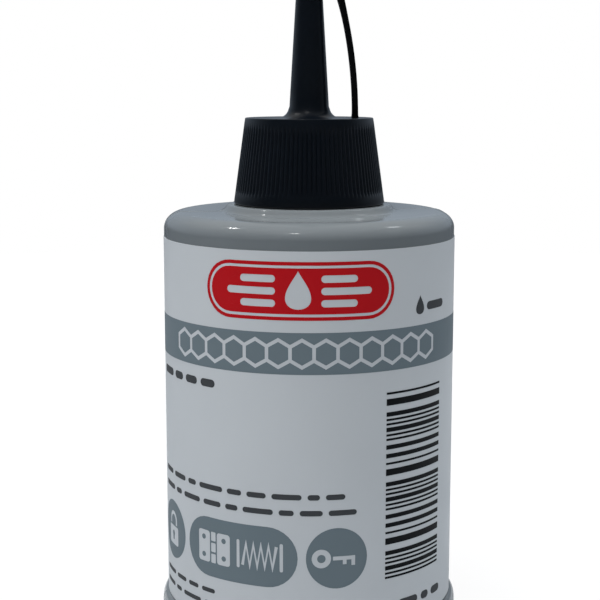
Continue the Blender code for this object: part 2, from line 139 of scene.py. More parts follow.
# Nozzle cap
SKIRT_HEIGHT = DECK_Z - RIM_Z
DECK_RADIUS = 8.75 * MM
SKIRT_TAPER = 1.6 * MM
RIM_ROUNDING = 0.18 * MM
DECK_EDGE = 0.14 * MM
DECK_THICKNESS = 1.2 * MM
CAP_BORE = NECK_RADIUS + THREAD_DEPTH + THREAD_CLEARANCE
MOUTH_RELIEF = 1.0 * MM
TOP_BAND = 0.6 * MM
BOTTOM_BAND = 1.1 * MM
RIB_TOP = DECK_Z - TOP_BAND
RIB_BOTTOM = RIM_Z + BOTTOM_BAND
RIB_TOP_FADE = 1.5 * MM
RIB_BOTTOM_FADE = 1.1 * MM
SPOUT_BASE_RADIUS = 2.78 * MM
SPOUT_TIP_RADIUS = 1.3 * MM
SPOUT_WALL = 1.0 * MM
SPOUT_FILLET = 1.5 * MM
ORIFICE_RADIUS = 0.8 * MM
ORIFICE_LENGTH = 2.1 * MM
SPOUT_TIP_EDGE = 0.15 * MM

# Tip cap
TIP_WALL = 0.9 * MM
TIP_CLEARANCE = 0.3 * MM
TIP_BORE_TOP = SPOUT_TIP_Z + TIP_CLEARANCE
TIP_RADIUS = SPOUT_TIP_RADIUS + TIP_CLEARANCE + TIP_WALL
TIP_EDGE = 1.0 * MM
TIP_FLANGE_RADIUS = TIP_HIGH.y
TIP_FLANGE_HEIGHT = 1.2 * MM
TIP_FLANGE_EDGE = 0.2 * MM
PIN_RADIUS = 0.5 * MM
PIN_LENGTH = 1.8 * MM
FLUTE_COUNT = 16
FLUTE_FADE = 0.5 * MM

# Strap
STRAP_WIDTH = 2.5 * MM
STRAP_THICKNESS = 0.8 * MM
STRAP_TOP_THICKNESS = 1.3 * MM
STRAP_THICKENING_SHARE = 0.35
STRAP_ROOT_X = DECK_RADIUS - 2.51 * MM
STRAP_TOP_X = TIP_HIGH.x - STRAP_TOP_THICKNESS / 2
STRAP_HEIGHT = STRAP_HIGH.z - STRAP_LOW.z
STRAP_CORNER = 0.16 * MM
STRAP_SEAT = 0.05 * MM

# Filling and washer
GREASE_EDGE = 0.4 * MM
RIPPLE_HEIGHT = 0.10 * MM
WASHER_BORE_RADIUS = 4.0 * MM
WASHER_EDGE = 0.15 * MM

# How finely round shapes are cut
BODY_COLUMNS = 240
RIB_COLUMNS = 6
SMALL_COLUMNS = 128
GREASE_COLUMNS = 96
STRAP_ROWS = 60
ARC_STEPS = 14
THREAD_ROW = 0.11 * MM
FINE_OFFSETS = [math.radians(offset) for offset in (-0.34, -0.17, 0.0, 0.17, 0.34)]

# Printed shapes, in millimetres
WRAP_STEP = 0.6
PRINT_THICKNESS = 0.024
PRINT_WELD = PRINT_THICKNESS / 100


# Profiles and turned shapes

def arc(centre, radii, start, end, steps=ARC_STEPS):
    """Points on an ellipse's arc as (radius, height), with both ends; angles in degrees from +X."""
    points = []
    for step in range(steps + 1):
        angle = math.radians(start + (end - start) * step / steps)
        points.append((centre[0] + radii[0] * math.cos(angle), centre[1] + radii[1] * math.sin(angle)))
    return points


def line(first, last, steps):
    """Evenly spaced points on a straight line, with both ends."""
    points = []
    for step in range(steps + 1):
        share = step / steps
        points.append(tuple(a + (b - a) * share for a, b in zip(first, last)))
    return points


def with_lift(points, lift):
    """Profile points that a lift moves off the surface."""
    return [(radius, height, lift) for radius, height in points]


def smooth_step(low, high, value):
    """0 below low, 1 above high, and a smooth rise between."""
    share = min(1.0, max(0.0, (value - low) / (high - low)))
    return share * share * (3 - 2 * share)


def columns(count, fine_angles=()):
    """Even angles round the axis, with closer ones at each angle that has fine detail."""
    angles = {FULL_TURN * index / count for index in range(count)}
    for fine in fine_angles:
        angles.update((fine + offset) % FULL_TURN for offset in FINE_OFFSETS)
    return sorted(angles)


def finish_mesh(shape, name, sharp=SHARP_ANGLE):
    """Make an object of a bmesh, facing out and shaded smooth up to the sharp angle."""
    bmesh.ops.recalc_face_normals(shape, faces=shape.faces)
    if shape.calc_volume(signed=True) < 0.0:
        bmesh.ops.reverse_faces(shape, faces=shape.faces)
    mesh = bpy.data.meshes.new(name)
    shape.to_mesh(mesh)
    shape.free()
    mesh.shade_smooth()
    mesh.set_sharp_from_angle(angle=sharp)
    piece = bpy.data.objects.new(name, mesh)
    bpy.context.scene.collection.objects.link(piece)
    return piece


def turned_ring(shape, point, direction, angles):
    """One ring of a turned shape, or its single corner on the axis."""
    radius, height, lift = point
    if radius < ON_AXIS:
        return [shape.verts.new((0.0, 0.0, height))]
    ring = []
    for angle in angles:
        rise = lift(angle, radius, height) if lift else 0.0
        out = radius - direction.y * rise
        up = height + direction.x * rise
        ring.append(shape.verts.new((out * math.cos(angle), out * math.sin(angle), up)))
    return ring


def turned(name, profile, angles, closed=False):
    """Turn a profile of (radius, height, lift) points about the Z axis; it runs down its outer side.

    A lift is a function of angle, radius and height that raises the surface there, or None.
    """
    shape = bmesh.new()
    rings = []
    last = len(profile) - 1
    for index, point in enumerate(profile):
        before = profile[index - 1] if index or closed else point
        after = profile[(index + 1) % len(profile)] if index < last or closed else point
        direction = Vector((after[0] - before[0], after[1] - before[1])).normalized()
        rings.append(turned_ring(shape, point, direction, angles))
    pairs = list(zip(rings, rings[1:]))
    if closed:
        pairs.append((rings[-1], rings[0]))
    for upper, lower in pairs:
        for here in range(len(angles)):
            there = (here + 1) % len(angles)
            corners = [
                upper[here % len(upper)],
                lower[here % len(lower)],
                lower[there % len(lower)],
                upper[there % len(upper)],
            ]
            shape.faces.new(dict.fromkeys(corners))
    return finish_mesh(shape, name)


def thread_lift(start_turn, start_height, turns):
    """The lift of a helical ridge that fades away at both ends."""
    def lift(angle, radius, height):
        around = angle / FULL_TURN - start_turn
        along = (height - start_height) / THREAD_PITCH - around
        nearest = round(along)
        off_middle = abs(along - nearest) * THREAD_PITCH
        done = around + nearest
        flank = smooth_step(THREAD_ROOT_WIDTH / 2, THREAD_CREST_WIDTH / 2, off_middle)
        ends = min(1.0, max(0.0, min(done, turns - done) / THREAD_RUN_OUT_TURNS))
        return THREAD_DEPTH * flank * ends
    return lift


def place(piece, body, node, material):
    """Give a piece its material and its body, and hide the frame node that it stands for."""
    piece.data.materials.clear()
    piece.data.materials.append(material)
    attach(piece, body)
    if node:
        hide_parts(node)
    return piece


# Surface values

SCRATCH_STRETCH = (1.0, 1.0, 0.06)
SCRATCH_TURN = (0.4, 0.2, 0.9)
SCRATCH_SCALE = 2600.0
COAT_ROUGHNESS = 0.06
FILM_GLOSS = 0.3
INK_GLOSS = 0.08
FOAM_ROUGHNESS = 0.85
PLASTIC_BUMP = 0.004 * MM
FILM_BUMP = 0.008 * MM
FOAM_BUMP = 0.04 * MM
PASTE_BUMP = 0.06 * MM


# Shader node groups

def new_group(name, inputs, outputs):
    """An empty shader node group with named sockets, its input node and its output node."""
    group = bpy.data.node_groups.new(name, "ShaderNodeTree")
    for label, kind, value in inputs:
        socket = group.interface.new_socket(label, in_out="INPUT", socket_type=kind)
        socket.default_value = value
    for label, kind in outputs:
        group.interface.new_socket(label, in_out="OUTPUT", socket_type=kind)
    return group, group.nodes.new("NodeGroupInput"), group.nodes.new("NodeGroupOutput")


def add_noise(tree, scale, detail, coordinates):
    """A noise texture in the piece's own coordinates; scale is a value or a socket."""
    noise = tree.nodes.new("ShaderNodeTexNoise")
    noise.inputs["Detail"].default_value = detail
    tree.links.new(coordinates, noise.inputs["Vector"])
    if isinstance(scale, float):
        noise.inputs["Scale"].default_value = scale
    else:
        tree.links.new(scale, noise.inputs["Scale"])
    return noise.outputs["Fac"]


def add_range(tree, value, source, target, smooth=False):
    """Map a value from one range to another; the target's ends are values or sockets."""
    node = tree.nodes.new("ShaderNodeMapRange")
    node.interpolation_type = "SMOOTHSTEP" if smooth else "LINEAR"
    node.inputs["From Min"].default_value = source[0]
    node.inputs["From Max"].default_value = source[1]
    for label, end in (("To Min", target[0]), ("To Max", target[1])):
        if isinstance(end, float):
            node.inputs[label].default_value = end
        else:
            tree.links.new(end, node.inputs[label])
    tree.links.new(value, node.inputs["Value"])
    return node.outputs["Result"]


def add_math(tree, operation, first, second):
    """One math node; either side is a value or a socket."""
    node = tree.nodes.new("ShaderNodeMath")
    node.operation = operation
    for index, side in enumerate((first, second)):
        if isinstance(side, float):
            node.inputs[index].default_value = side
        else:
            tree.links.new(side, node.inputs[index])
    return node.outputs["Value"]


def add_mix(tree, factor, first, second):
    """Mix two colours by a factor; each is a value or a socket."""
    node = tree.nodes.new("ShaderNodeMix")
    node.data_type = "RGBA"
    tree.links.new(factor, node.inputs["Factor"])
    for socket, colour in ((node.inputs[6], first), (node.inputs[7], second)):
        if isinstance(colour, tuple):
            socket.default_value = colour
        else:
            tree.links.new(colour, socket)
    return node.outputs[2]


def tone_drift_group():
    """A colour that drifts a little lighter and darker, as moulded plastic and paper do."""
    group, given, result = new_group(
        "Tone Drift",
        [
            ("Colour", "NodeSocketColor", (0.5, 0.5, 0.5, 1.0)),
            ("Amount", "NodeSocketFloat", 0.1),
            ("Scale", "NodeSocketFloat", 80.0),
        ],
        [("Colour", "NodeSocketColor")],
    )
    place_node = group.nodes.new("ShaderNodeTexCoord")
    drift = add_noise(group, given.outputs["Scale"], 4.0, place_node.outputs["Object"])
    less = add_math(group, "SUBTRACT", 1.0, given.outputs["Amount"])
    more = add_math(group, "ADD", 1.0, given.outputs["Amount"])
    gain = add_range(group, drift, (0.3, 0.7), (less, more))
    tinted = group.nodes.new("ShaderNodeVectorMath")
    tinted.operation = "SCALE"
    group.links.new(given.outputs["Colour"], tinted.inputs[0])
    group.links.new(gain, tinted.inputs["Scale"])
    group.links.new(tinted.outputs[0], result.inputs["Colour"])
    return group


def handling_group():
    """Faint smears left by handling: a rougher, duller patchwork with fine scratches in it."""
    group, given, result = new_group(
        "Handling Marks",
        [
            ("Roughness", "NodeSocketFloat", 0.3),
            ("Amount", "NodeSocketFloat", 0.1),
            ("Scale", "NodeSocketFloat", 120.0),
        ],
        [("Roughness", "NodeSocketFloat"), ("Mask", "NodeSocketFloat")],
    )
    place_node = group.nodes.new("ShaderNodeTexCoord")
    smears = add_noise(group, given.outputs["Scale"], 3.0, place_node.outputs["Object"])
    stretch = group.nodes.new("ShaderNodeMapping")
    stretch.inputs["Rotation"].default_value = SCRATCH_TURN
    stretch.inputs["Scale"].default_value = SCRATCH_STRETCH
    group.links.new(place_node.outputs["Object"], stretch.inputs["Vector"])
    scratches = add_noise(group, SCRATCH_SCALE, 2.0, stretch.outputs["Vector"])
    smear_mask = add_range(group, smears, (0.48, 0.72), (0.0, 1.0))
    scratch_mask = add_range(group, scratches, (0.66, 0.74), (0.0, 1.0))
    mask = add_math(group, "MAXIMUM", smear_mask, add_math(group, "MULTIPLY", scratch_mask, 0.5))
    added = add_math(group, "MULTIPLY", mask, given.outputs["Amount"])
    rough = add_math(group, "ADD", given.outputs["Roughness"], added)
    group.links.new(rough, result.inputs["Roughness"])
    group.links.new(mask, result.inputs["Mask"])
    return group


def moulded_grain_group():
    """The height of a moulded or blown surface: soft waves with a fine grain on them."""
    group, given, result = new_group(
        "Moulded Grain",
        [
            ("Wave Scale", "NodeSocketFloat", 500.0),
            ("Grain Scale", "NodeSocketFloat", 6000.0),
            ("Grain Share", "NodeSocketFloat", 0.4),
        ],
        [("Height", "NodeSocketFloat")],
    )
    place_node = group.nodes.new("ShaderNodeTexCoord")
    waves = add_noise(group, given.outputs["Wave Scale"], 2.0, place_node.outputs["Object"])
    grain = add_noise(group, given.outputs["Grain Scale"], 3.0, place_node.outputs["Object"])
    fine = add_math(group, "MULTIPLY", grain, given.outputs["Grain Share"])
    group.links.new(add_math(group, "ADD", waves, fine), result.inputs["Height"])
    return group


def edge_wear_and_highlight_group():
    """A mask of raised edges and rib crests, broken up by noise: partly rubbed wear, partly a painted
    highlight that makes ridges lighter than their grooves.
    """
    group, given, result = new_group(
        "Edge Wear And Highlight",
        [
            ("Start", "NodeSocketFloat", 0.52),
            ("Amount", "NodeSocketFloat", 0.5),
            ("Scale", "NodeSocketFloat", 900.0),
        ],
        [("Mask", "NodeSocketFloat")],
    )
    geometry = group.nodes.new("ShaderNodeNewGeometry")
    place_node = group.nodes.new("ShaderNodeTexCoord")
    spots = add_noise(group, given.outputs["Scale"], 4.0, place_node.outputs["Object"])
    # Pointiness picks out raised edges and rib crests: partly wear, partly painted highlight.
    raised = add_math(group, "SUBTRACT", geometry.outputs["Pointiness"], given.outputs["Start"])
    strong = add_range(group, raised, (0.0, 0.05), (0.0, 1.0))
    broken = add_math(group, "MULTIPLY", strong, add_range(group, spots, (0.4, 0.62), (0.0, 1.0)))
    group.links.new(add_math(group, "MULTIPLY", broken, given.outputs["Amount"]), result.inputs["Mask"])
    return group


def ink_group():
    """Printed ink: its colour, a little uneven, with fine specks where the film shows through."""
    group, given, result = new_group(
        "Printed Ink",
        [
            ("Colour", "NodeSocketColor", (0.1, 0.1, 0.1, 1.0)),
            ("Film Colour", "NodeSocketColor", (0.5, 0.5, 0.5, 1.0)),
            ("Wear", "NodeSocketFloat", 0.3),
        ],
        [("Colour", "NodeSocketColor"), ("Mask", "NodeSocketFloat")],
    )
    place_node = group.nodes.new("ShaderNodeTexCoord")
    screen = add_noise(group, 9000.0, 2.0, place_node.outputs["Object"])
    patches = add_noise(group, 260.0, 5.0, place_node.outputs["Object"])
    specks = add_range(group, screen, (0.66, 0.76), (0.0, 1.0))
    worn = add_range(group, patches, (0.52, 0.70), (0.15, 1.0))
    mask = add_math(group, "MULTIPLY", add_math(group, "MULTIPLY", specks, worn), given.outputs["Wear"])
    colour = add_mix(group, mask, given.outputs["Colour"], given.outputs["Film Colour"])
    group.links.new(colour, result.inputs["Colour"])
    group.links.new(mask, result.inputs["Mask"])
    return group


GROUP_MAKERS = {
    "Tone Drift": tone_drift_group,
    "Handling Marks": handling_group,
    "Moulded Grain": moulded_grain_group,
    "Edge Wear And Highlight": edge_wear_and_highlight_group,
    "Printed Ink": ink_group,
}


def use_group(tree, name, **values):
    """Place a shared group in a material's tree with its own values; names use _ for spaces."""
    node = tree.nodes.new("ShaderNodeGroup")
    node.node_tree = bpy.data.node_groups.get(name) or GROUP_MAKERS[name]()
    for label, value in values.items():
        socket = node.inputs[label.replace("_", " ")]
        if isinstance(value, bpy.types.NodeSocket):
            tree.links.new(value, socket)
        else:
            socket.default_value = value
    return node


def rgba(colour):
    """A property's colour as four numbers."""
    return (colour[0], colour[1], colour[2], 1.0)


def scaled(colour, gain):
    """A property's colour made lighter or darker by a gain."""
    return tuple(gain * part for part in colour)


def new_material(name):
    """A material with only its Principled shader and output."""
    material = bpy.data.materials.new(name)
    material.use_nodes = True
    return material, material.node_tree, material.node_tree.nodes["Principled BSDF"]


def add_bump(tree, shader, height, distance, strength=1.0):
    """Feed a height to the shader's normal through a Bump node."""
    bump = tree.nodes.new("ShaderNodeBump")
    bump.inputs["Distance"].default_value = distance
    bump.inputs["Strength"].default_value = strength
    tree.links.new(height, bump.inputs["Height"])
    tree.links.new(bump.outputs["Normal"], shader.inputs["Normal"])


def plastic_material(name, colour, worn, roughness, drift, wave_scale, bump_distance, gloss=0.5, coat=0.0):
    """A moulded plastic: drifting tone, handled gloss, edges lightened partly by wear and partly by a
    painted highlight, and soft waves.
    """
    material, tree, shader = new_material(name)
    tone = use_group(tree, "Tone Drift", Colour=rgba(colour), Amount=drift, Scale=140.0)
    # Raised edges and rib crests get the worn colour: partly wear, partly painted highlight.
    wear = use_group(tree, "Edge Wear And Highlight", Start=0.53, Amount=0.55, Scale=1100.0)
    marks = use_group(tree, "Handling Marks", Roughness=roughness, Amount=0.05, Scale=130.0)
    grain = use_group(tree, "Moulded Grain", Wave_Scale=wave_scale, Grain_Scale=9000.0, Grain_Share=0.03)
    surface = add_mix(tree, wear.outputs["Mask"], tone.outputs["Colour"], rgba(worn))
    tree.links.new(surface, shader.inputs["Base Color"])
    tree.links.new(marks.outputs["Roughness"], shader.inputs["Roughness"])
    shader.inputs["Specular IOR Level"].default_value = gloss
    shader.inputs["Coat Weight"].default_value = coat
    shader.inputs["Coat Roughness"].default_value = COAT_ROUGHNESS
    add_bump(tree, shader, grain.outputs["Height"], bump_distance)
    return material


def film_material(colour):
    """The label's white film: a satin surface with faint tone drift."""
    material, tree, shader = new_material("label_film")
    tone = use_group(tree, "Tone Drift", Colour=rgba(colour), Amount=0.018, Scale=60.0)
    marks = use_group(tree, "Handling Marks", Roughness=0.42, Amount=0.12, Scale=90.0)
    grain = use_group(tree, "Moulded Grain", Wave_Scale=160.0, Grain_Scale=7000.0, Grain_Share=0.5)
    tree.links.new(tone.outputs["Colour"], shader.inputs["Base Color"])
    tree.links.new(marks.outputs["Roughness"], shader.inputs["Roughness"])
    shader.inputs["Specular IOR Level"].default_value = FILM_GLOSS
    add_bump(tree, shader, grain.outputs["Height"], FILM_BUMP)
    return material


def ink_material(name, colour, film_colour, wear):
    """One printed colour on the label's film."""
    material, tree, shader = new_material(name)
    tone = use_group(tree, "Tone Drift", Colour=rgba(colour), Amount=0.03, Scale=70.0)
    film = rgba(film_colour)
    ink = use_group(tree, "Printed Ink", Colour=tone.outputs["Colour"], Film_Colour=film, Wear=wear)
    marks = use_group(tree, "Handling Marks", Roughness=0.50, Amount=0.12, Scale=90.0)
    tree.links.new(ink.outputs["Colour"], shader.inputs["Base Color"])
    tree.links.new(marks.outputs["Roughness"], shader.inputs["Roughness"])
    shader.inputs["Specular IOR Level"].default_value = INK_GLOSS
    return material


def foam_material(colour):
    """The washer's closed-cell foam, with painted shade darkening the pits of its cells."""
    material, tree, shader = new_material("washer_foam")
    cells = tree.nodes.new("ShaderNodeTexVoronoi")
    cells.inputs["Scale"].default_value = 5200.0
    place_node = tree.nodes.new("ShaderNodeTexCoord")
    tree.links.new(place_node.outputs["Object"], cells.inputs["Vector"])
    tone = use_group(tree, "Tone Drift", Colour=rgba(colour), Amount=0.05, Scale=300.0)
    # Painted shade: the cell pits that the bump sinks are coloured darker.
    pore_shade = add_range(tree, cells.outputs["Distance"], (0.0, 0.35), (0.0, 1.0))
    darker = rgba(scaled(colour, 0.72))
    tree.links.new(add_mix(tree, pore_shade, darker, tone.outputs["Colour"]), shader.inputs["Base Color"])
    shader.inputs["Roughness"].default_value = FOAM_ROUGHNESS
    add_bump(tree, shader, cells.outputs["Distance"], FOAM_BUMP, 0.6)
    return material


def paste_material(colour):
    """Graphite paste: near black, with wet streaks and a faint metallic glint."""
    material, tree, shader = new_material("graphite_paste")
    tone = use_group(tree, "Tone Drift", Colour=rgba(colour), Amount=0.35, Scale=500.0)
    marks = use_group(tree, "Handling Marks", Roughness=0.22, Amount=0.35, Scale=420.0)
    grain = use_group(tree, "Moulded Grain", Wave_Scale=900.0, Grain_Scale=9000.0, Grain_Share=0.6)
    glint = add_range(tree, grain.outputs["Height"], (0.5, 1.1), (0.15, 0.6))
    tree.links.new(tone.outputs["Colour"], shader.inputs["Base Color"])
    tree.links.new(marks.outputs["Roughness"], shader.inputs["Roughness"])
    tree.links.new(glint, shader.inputs["Metallic"])
    add_bump(tree, shader, grain.outputs["Height"], PASTE_BUMP)
    return material


# Sizes and colours that a user would change

class BottleShellSettings(bpy.types.PropertyGroup):
    """The blown bottle."""

    colour: FloatVectorProperty(
        name="Plastic colour",
        description="Colour of the grey blown plastic",
        subtype="COLOR",
        size=3,
        min=0.0,
        max=1.0,
        default=(0.139, 0.158, 0.170),
    )
    parting_line_height: FloatProperty(
        name="Parting line height",
        description="How far the mould's parting line stands out of the wall",
        unit="LENGTH",
        min=0.0,
        default=0.05 * MM,
    )


class WrapLabelSettings(bpy.types.PropertyGroup):
    """The wrap label and what is printed on it."""

    film_colour: FloatVectorProperty(
        name="Film colour",
        description="Colour of the unprinted film",
        subtype="COLOR",
        size=3,
        min=0.0,
        max=1.0,
        default=(0.475, 0.508, 0.535),
    )
    band_colour: FloatVectorProperty(
        name="Grey ink",
        description="Colour of the band and of the picture tiles",
        subtype="COLOR",
        size=3,
        min=0.0,
        max=1.0,
        default=(0.130, 0.167, 0.190),
    )
    badge_colour: FloatVectorProperty(
        name="Red ink",
        description="Colour of the red capsule",
        subtype="COLOR",
        size=3,
        min=0.0,
        max=1.0,
        default=(0.40, 0.006, 0.010),
    )
    dark_ink_colour: FloatVectorProperty(
        name="Black ink",
        description="Colour of the bar block",
        subtype="COLOR",
        size=3,
        min=0.0,
        max=1.0,
        default=(0.003, 0.004, 0.005),
    )
    rule_ink_colour: FloatVectorProperty(
        name="Dark grey ink",
        description="Colour of the rules that stand for small print",
        subtype="COLOR",
        size=3,
        min=0.0,
        max=1.0,
        default=(0.046, 0.050, 0.055),
    )
    overlap_width: FloatProperty(
        name="Overlap",
        description="How far the film laps over itself at the back",
        unit="LENGTH",
        min=0.0,
        default=4.0 * MM,
    )
    overlap_rise: FloatProperty(
        name="Overlap rise",
        description="How far the lapped film stands up from the film below it",
        unit="LENGTH",
        min=0.0,
        default=0.05 * MM,
    )


class NozzleCapSettings(bpy.types.PropertyGroup):
    """The ribbed nozzle cap and the tip cap."""

    colour: FloatVectorProperty(
        name="Plastic colour",
        description="Colour of the near-black moulded plastic",
        subtype="COLOR",
        size=3,
        min=0.0,
        max=1.0,
        default=(0.0013, 0.0028, 0.0052),
    )
    rib_count: IntProperty(
        name="Ribs",
        description="Number of grip ribs round the skirt",
        min=12,
        default=96,
    )
    rib_depth: FloatProperty(
        name="Rib depth",
        description="How deep the grooves between the ribs are",
        unit="LENGTH",
        min=0.0,
        default=0.17 * MM,
    )
    flute_depth: FloatProperty(
        name="Flute depth",
        description="How deep the tip cap's grip flutes are",
        unit="LENGTH",
        min=0.0,
        default=0.09 * MM,
    )


class CapStrapSettings(bpy.types.PropertyGroup):
    """The strap between the two caps."""

    colour: FloatVectorProperty(
        name="Plastic colour",
        description="Colour of the strap",
        subtype="COLOR",
        size=3,
        min=0.0,
        max=1.0,
        default=(0.0006, 0.0007, 0.0009),
    )
    foot_flare: FloatProperty(
        name="Foot flare",
        description="How much wider the strap is where it is moulded onto the deck",
        unit="LENGTH",
        min=0.0,
        default=0.10 * MM,
    )


class FillingSettings(bpy.types.PropertyGroup):
    """The paste in the bottle and the washer in its cap."""

    paste_colour: FloatVectorProperty(
        name="Paste colour",
        description="Colour of the graphite paste",
        subtype="COLOR",
        size=3,
        min=0.0,
        max=1.0,
        default=(0.020, 0.021, 0.023),
    )
    washer_colour: FloatVectorProperty(
        name="Washer colour",
        description="Colour of the foam washer",
        subtype="COLOR",
        size=3,
        min=0.0,
        max=1.0,
        default=(0.70, 0.69, 0.65),
    )


class StudioSettings(bpy.types.PropertyGroup):
    """The floor, the lamps and the surroundings."""

    floor_radius: FloatProperty(
        name="Floor radius",
        description="Radius of the round floor",
        unit="LENGTH",
        min=0.1,
        default=0.45,
    )
    floor_colour: FloatVectorProperty(
        name="Floor colour",
        description="Colour of the floor",
        subtype="COLOR",
        size=3,
        min=0.0,
        max=1.0,
        default=(0.54, 0.57, 0.60),
    )
    sky_strength: FloatProperty(
        name="Light from above",
        description="Strength of the soft light straight above the object",
        min=0.0,
        default=0.15,
    )
    horizon_strength: FloatProperty(
        name="Light from all round",
        description="Strength of the soft light level with the object",
        min=0.0,
        default=0.37,
    )


# The bottle

def parting_line(height):
    """The lift of the mould's two parting lines on walls of that line height."""
    def lift(angle, radius, level):
        away = abs(math.sin(angle - PARTING_ANGLE)) * radius
        return height * math.exp(-((away / PARTING_WIDTH) ** 2))
    return lift


def pinch_off(height):
    """The lift of the pinched seam across the base, wider and higher than the parting line."""
    def lift(angle, radius, level):
        away = abs(math.sin(angle - PARTING_ANGLE)) * radius
        ends = smooth_step(PUSH_UP_RADIUS, PINCH_OFF_FADE, radius)
        return height * PINCH_OFF_RISE * ends * math.exp(-((away / PINCH_OFF_WIDTH) ** 2))
    return lift


def push_up(level, outwards):
    """The shallow dome of the base or of the floor inside, from the axis outwards or back."""
    points = []
    for radius, _ in line((0.0, 0.0), (PUSH_UP_RADIUS, 0.0), ARC_STEPS):
        share = radius / PUSH_UP_RADIUS
        points.append((radius, level + PUSH_UP * (1.0 - share * share)))
    return points if outwards else points[::-1]


def shoulder_points():
    """The outer shoulder from the neck's root over the collar and the flat crest down to the wall."""
    crest = WALL_TOP + SHOULDER_RISE
    neck_root = (NECK_RADIUS + NECK_ROOT_FILLET, COLLAR_TOP + NECK_ROOT_FILLET)
    collar_edge = (COLLAR_RADIUS - COLLAR_EDGE, COLLAR_TOP - COLLAR_EDGE)
    collar_foot = (COLLAR_RADIUS + COLLAR_FLANK_RUN, crest + COLLAR_FOOT_FILLET)
    rounding = (WALL_RADIUS - SHOULDER_RUN, WALL_TOP)
    return [
        *arc(neck_root, (NECK_ROOT_FILLET, NECK_ROOT_FILLET), 180, 270, 6),
        *arc(collar_edge, (COLLAR_EDGE, COLLAR_EDGE), 90, 35, 8),
        *arc(collar_foot, (COLLAR_FOOT_FILLET, COLLAR_FOOT_FILLET), 215, 270, 8),
        *arc(rounding, (SHOULDER_RUN, SHOULDER_RISE), 90, 0, 2 * ARC_STEPS),
    ]


def make_shell(settings):
    """The blown bottle, hollow, with its thread, parting line, collar and domed base."""
    inner = WALL_RADIUS - BODY_WALL
    crest = WALL_TOP + SHOULDER_RISE
    bore = NECK_RADIUS - NECK_WALL
    mouth = (bore + MOUTH_EDGE, NECK_TOP - MOUTH_EDGE)
    lip = (NECK_RADIUS - MOUTH_EDGE, NECK_TOP - MOUTH_EDGE)
    foot_band = FOOT_TOP - FOOT_ROUNDING_HEIGHT
    foot_rounding = (FOOT_RADIUS - WALL_RADIUS, FOOT_ROUNDING_HEIGHT)
    seam = parting_line(settings.parting_line_height)
    thread = thread_lift(0.0, BOTTLE_THREAD_Z, BOTTLE_THREAD_TURNS)
    neck_foot = COLLAR_TOP + NECK_ROOT_FILLET
    thread_rows = round((lip[1] - neck_foot) / THREAD_ROW)
    floor_corner = (inner - FLOOR_CORNER, BODY_WALL + FLOOR_CORNER)
    inner_shoulder = (SHOULDER_RUN - BODY_WALL, SHOULDER_RISE - BODY_WALL)
    inner_fillet = (INNER_FILLET_RUN, INNER_FILLET_RISE)
    fillet_centre = (bore + INNER_FILLET_RUN, crest - BODY_WALL + INNER_FILLET_RISE)
    profile = [
        *with_lift(push_up(BODY_WALL, outwards=True), None),
        *with_lift(arc(floor_corner, (FLOOR_CORNER,) * 2, -90, 0, 6), None),
        *with_lift(arc((WALL_RADIUS - SHOULDER_RUN, WALL_TOP), inner_shoulder, 0, 90, 6), None),
        *with_lift(arc(fillet_centre, inner_fillet, 270, 180), None),
        *with_lift(arc(mouth, (MOUTH_EDGE,) * 2, 180, 90, 4), None),
        *with_lift(arc(lip, (MOUTH_EDGE,) * 2, 90, 0, 4), None),
        *with_lift(line((NECK_RADIUS, lip[1]), (NECK_RADIUS, neck_foot), thread_rows)[1:-1], thread),
        *with_lift(shoulder_points(), seam),
        *with_lift(line((WALL_RADIUS, WALL_TOP), (WALL_RADIUS, FOOT_TOP), 8)[1:-1], seam),
        *with_lift(arc((WALL_RADIUS, foot_band), foot_rounding, 90, 0), seam),
        *with_lift(arc((FOOT_RADIUS - BASE_CORNER, BASE_CORNER), (BASE_CORNER,) * 2, 0, -90), None),
        *with_lift(push_up(0.0, outwards=False), pinch_off(settings.parting_line_height)),
    ]
    angles = columns(BODY_COLUMNS, (PARTING_ANGLE, PARTING_ANGLE + math.pi))
    shell = turned("bottle_shell", profile, angles)
    plastic = plastic_material(
        "grey_bottle_plastic",
        settings.colour,
        # Lighter colour on raised edges: partly wear, partly painted highlight.
        scaled(settings.colour, 1.25),
        roughness=0.11,
        drift=0.02,
        wave_scale=110.0,
        bump_distance=PLASTIC_BUMP,
    )
    return place(shell, "bottle", "bottle_body", plastic)


# The label

LAP_FULL_SHARE = 0.8
CORNER_SHARE = 0.999
MITRE_LIMIT = 0.35
DROP_STEPS = 40
DROP_WIDEST = 0.702


def film_rise(settings, across):
    """How far the film stands up at a distance round from the front: its lap at the back."""
    behind = math.pi * FILM_RADIUS - across
    if not 0.0 < behind < settings.overlap_width:
        return 0.0
    full = LAP_FULL_SHARE * settings.overlap_width
    return settings.overlap_rise * smooth_step(settings.overlap_width, full, behind)


def make_film(settings):
    """The label's film as a thin closed ring with its lapped edge at the back."""
    def lap(angle, radius, height):
        across = ((angle + math.pi / 2) % FULL_TURN) * FILM_RADIUS
        return film_rise(settings, across)

    inner = FILM_RADIUS - FILM_THICKNESS
    profile = [
        (FILM_RADIUS, LABEL_TOP, lap),
        (FILM_RADIUS, LABEL_BOTTOM, lap),
        (inner, LABEL_BOTTOM, None),
        (inner, LABEL_TOP, None),
    ]
    back = math.pi / 2
    film = turned("label_film", profile, columns(BODY_COLUMNS, (back - FINE_OFFSETS[-1],)), closed=True)
    return place(film, "bottle", "wrap_label", film_material(settings.film_colour))


def polygon(centre, radius, sides, turn=0.0):
    """The corners of a regular polygon; many sides make a circle."""
    corners = []
    for index in range(sides):
        angle = turn + FULL_TURN * index / sides
        corners.append((centre[0] + radius * math.cos(angle), centre[1] + radius * math.sin(angle)))
    return corners


def circle(centre, radius):
    """A circle with as many corners as its size needs."""
    return polygon(centre, radius, 16 if radius < 1.0 else 48)


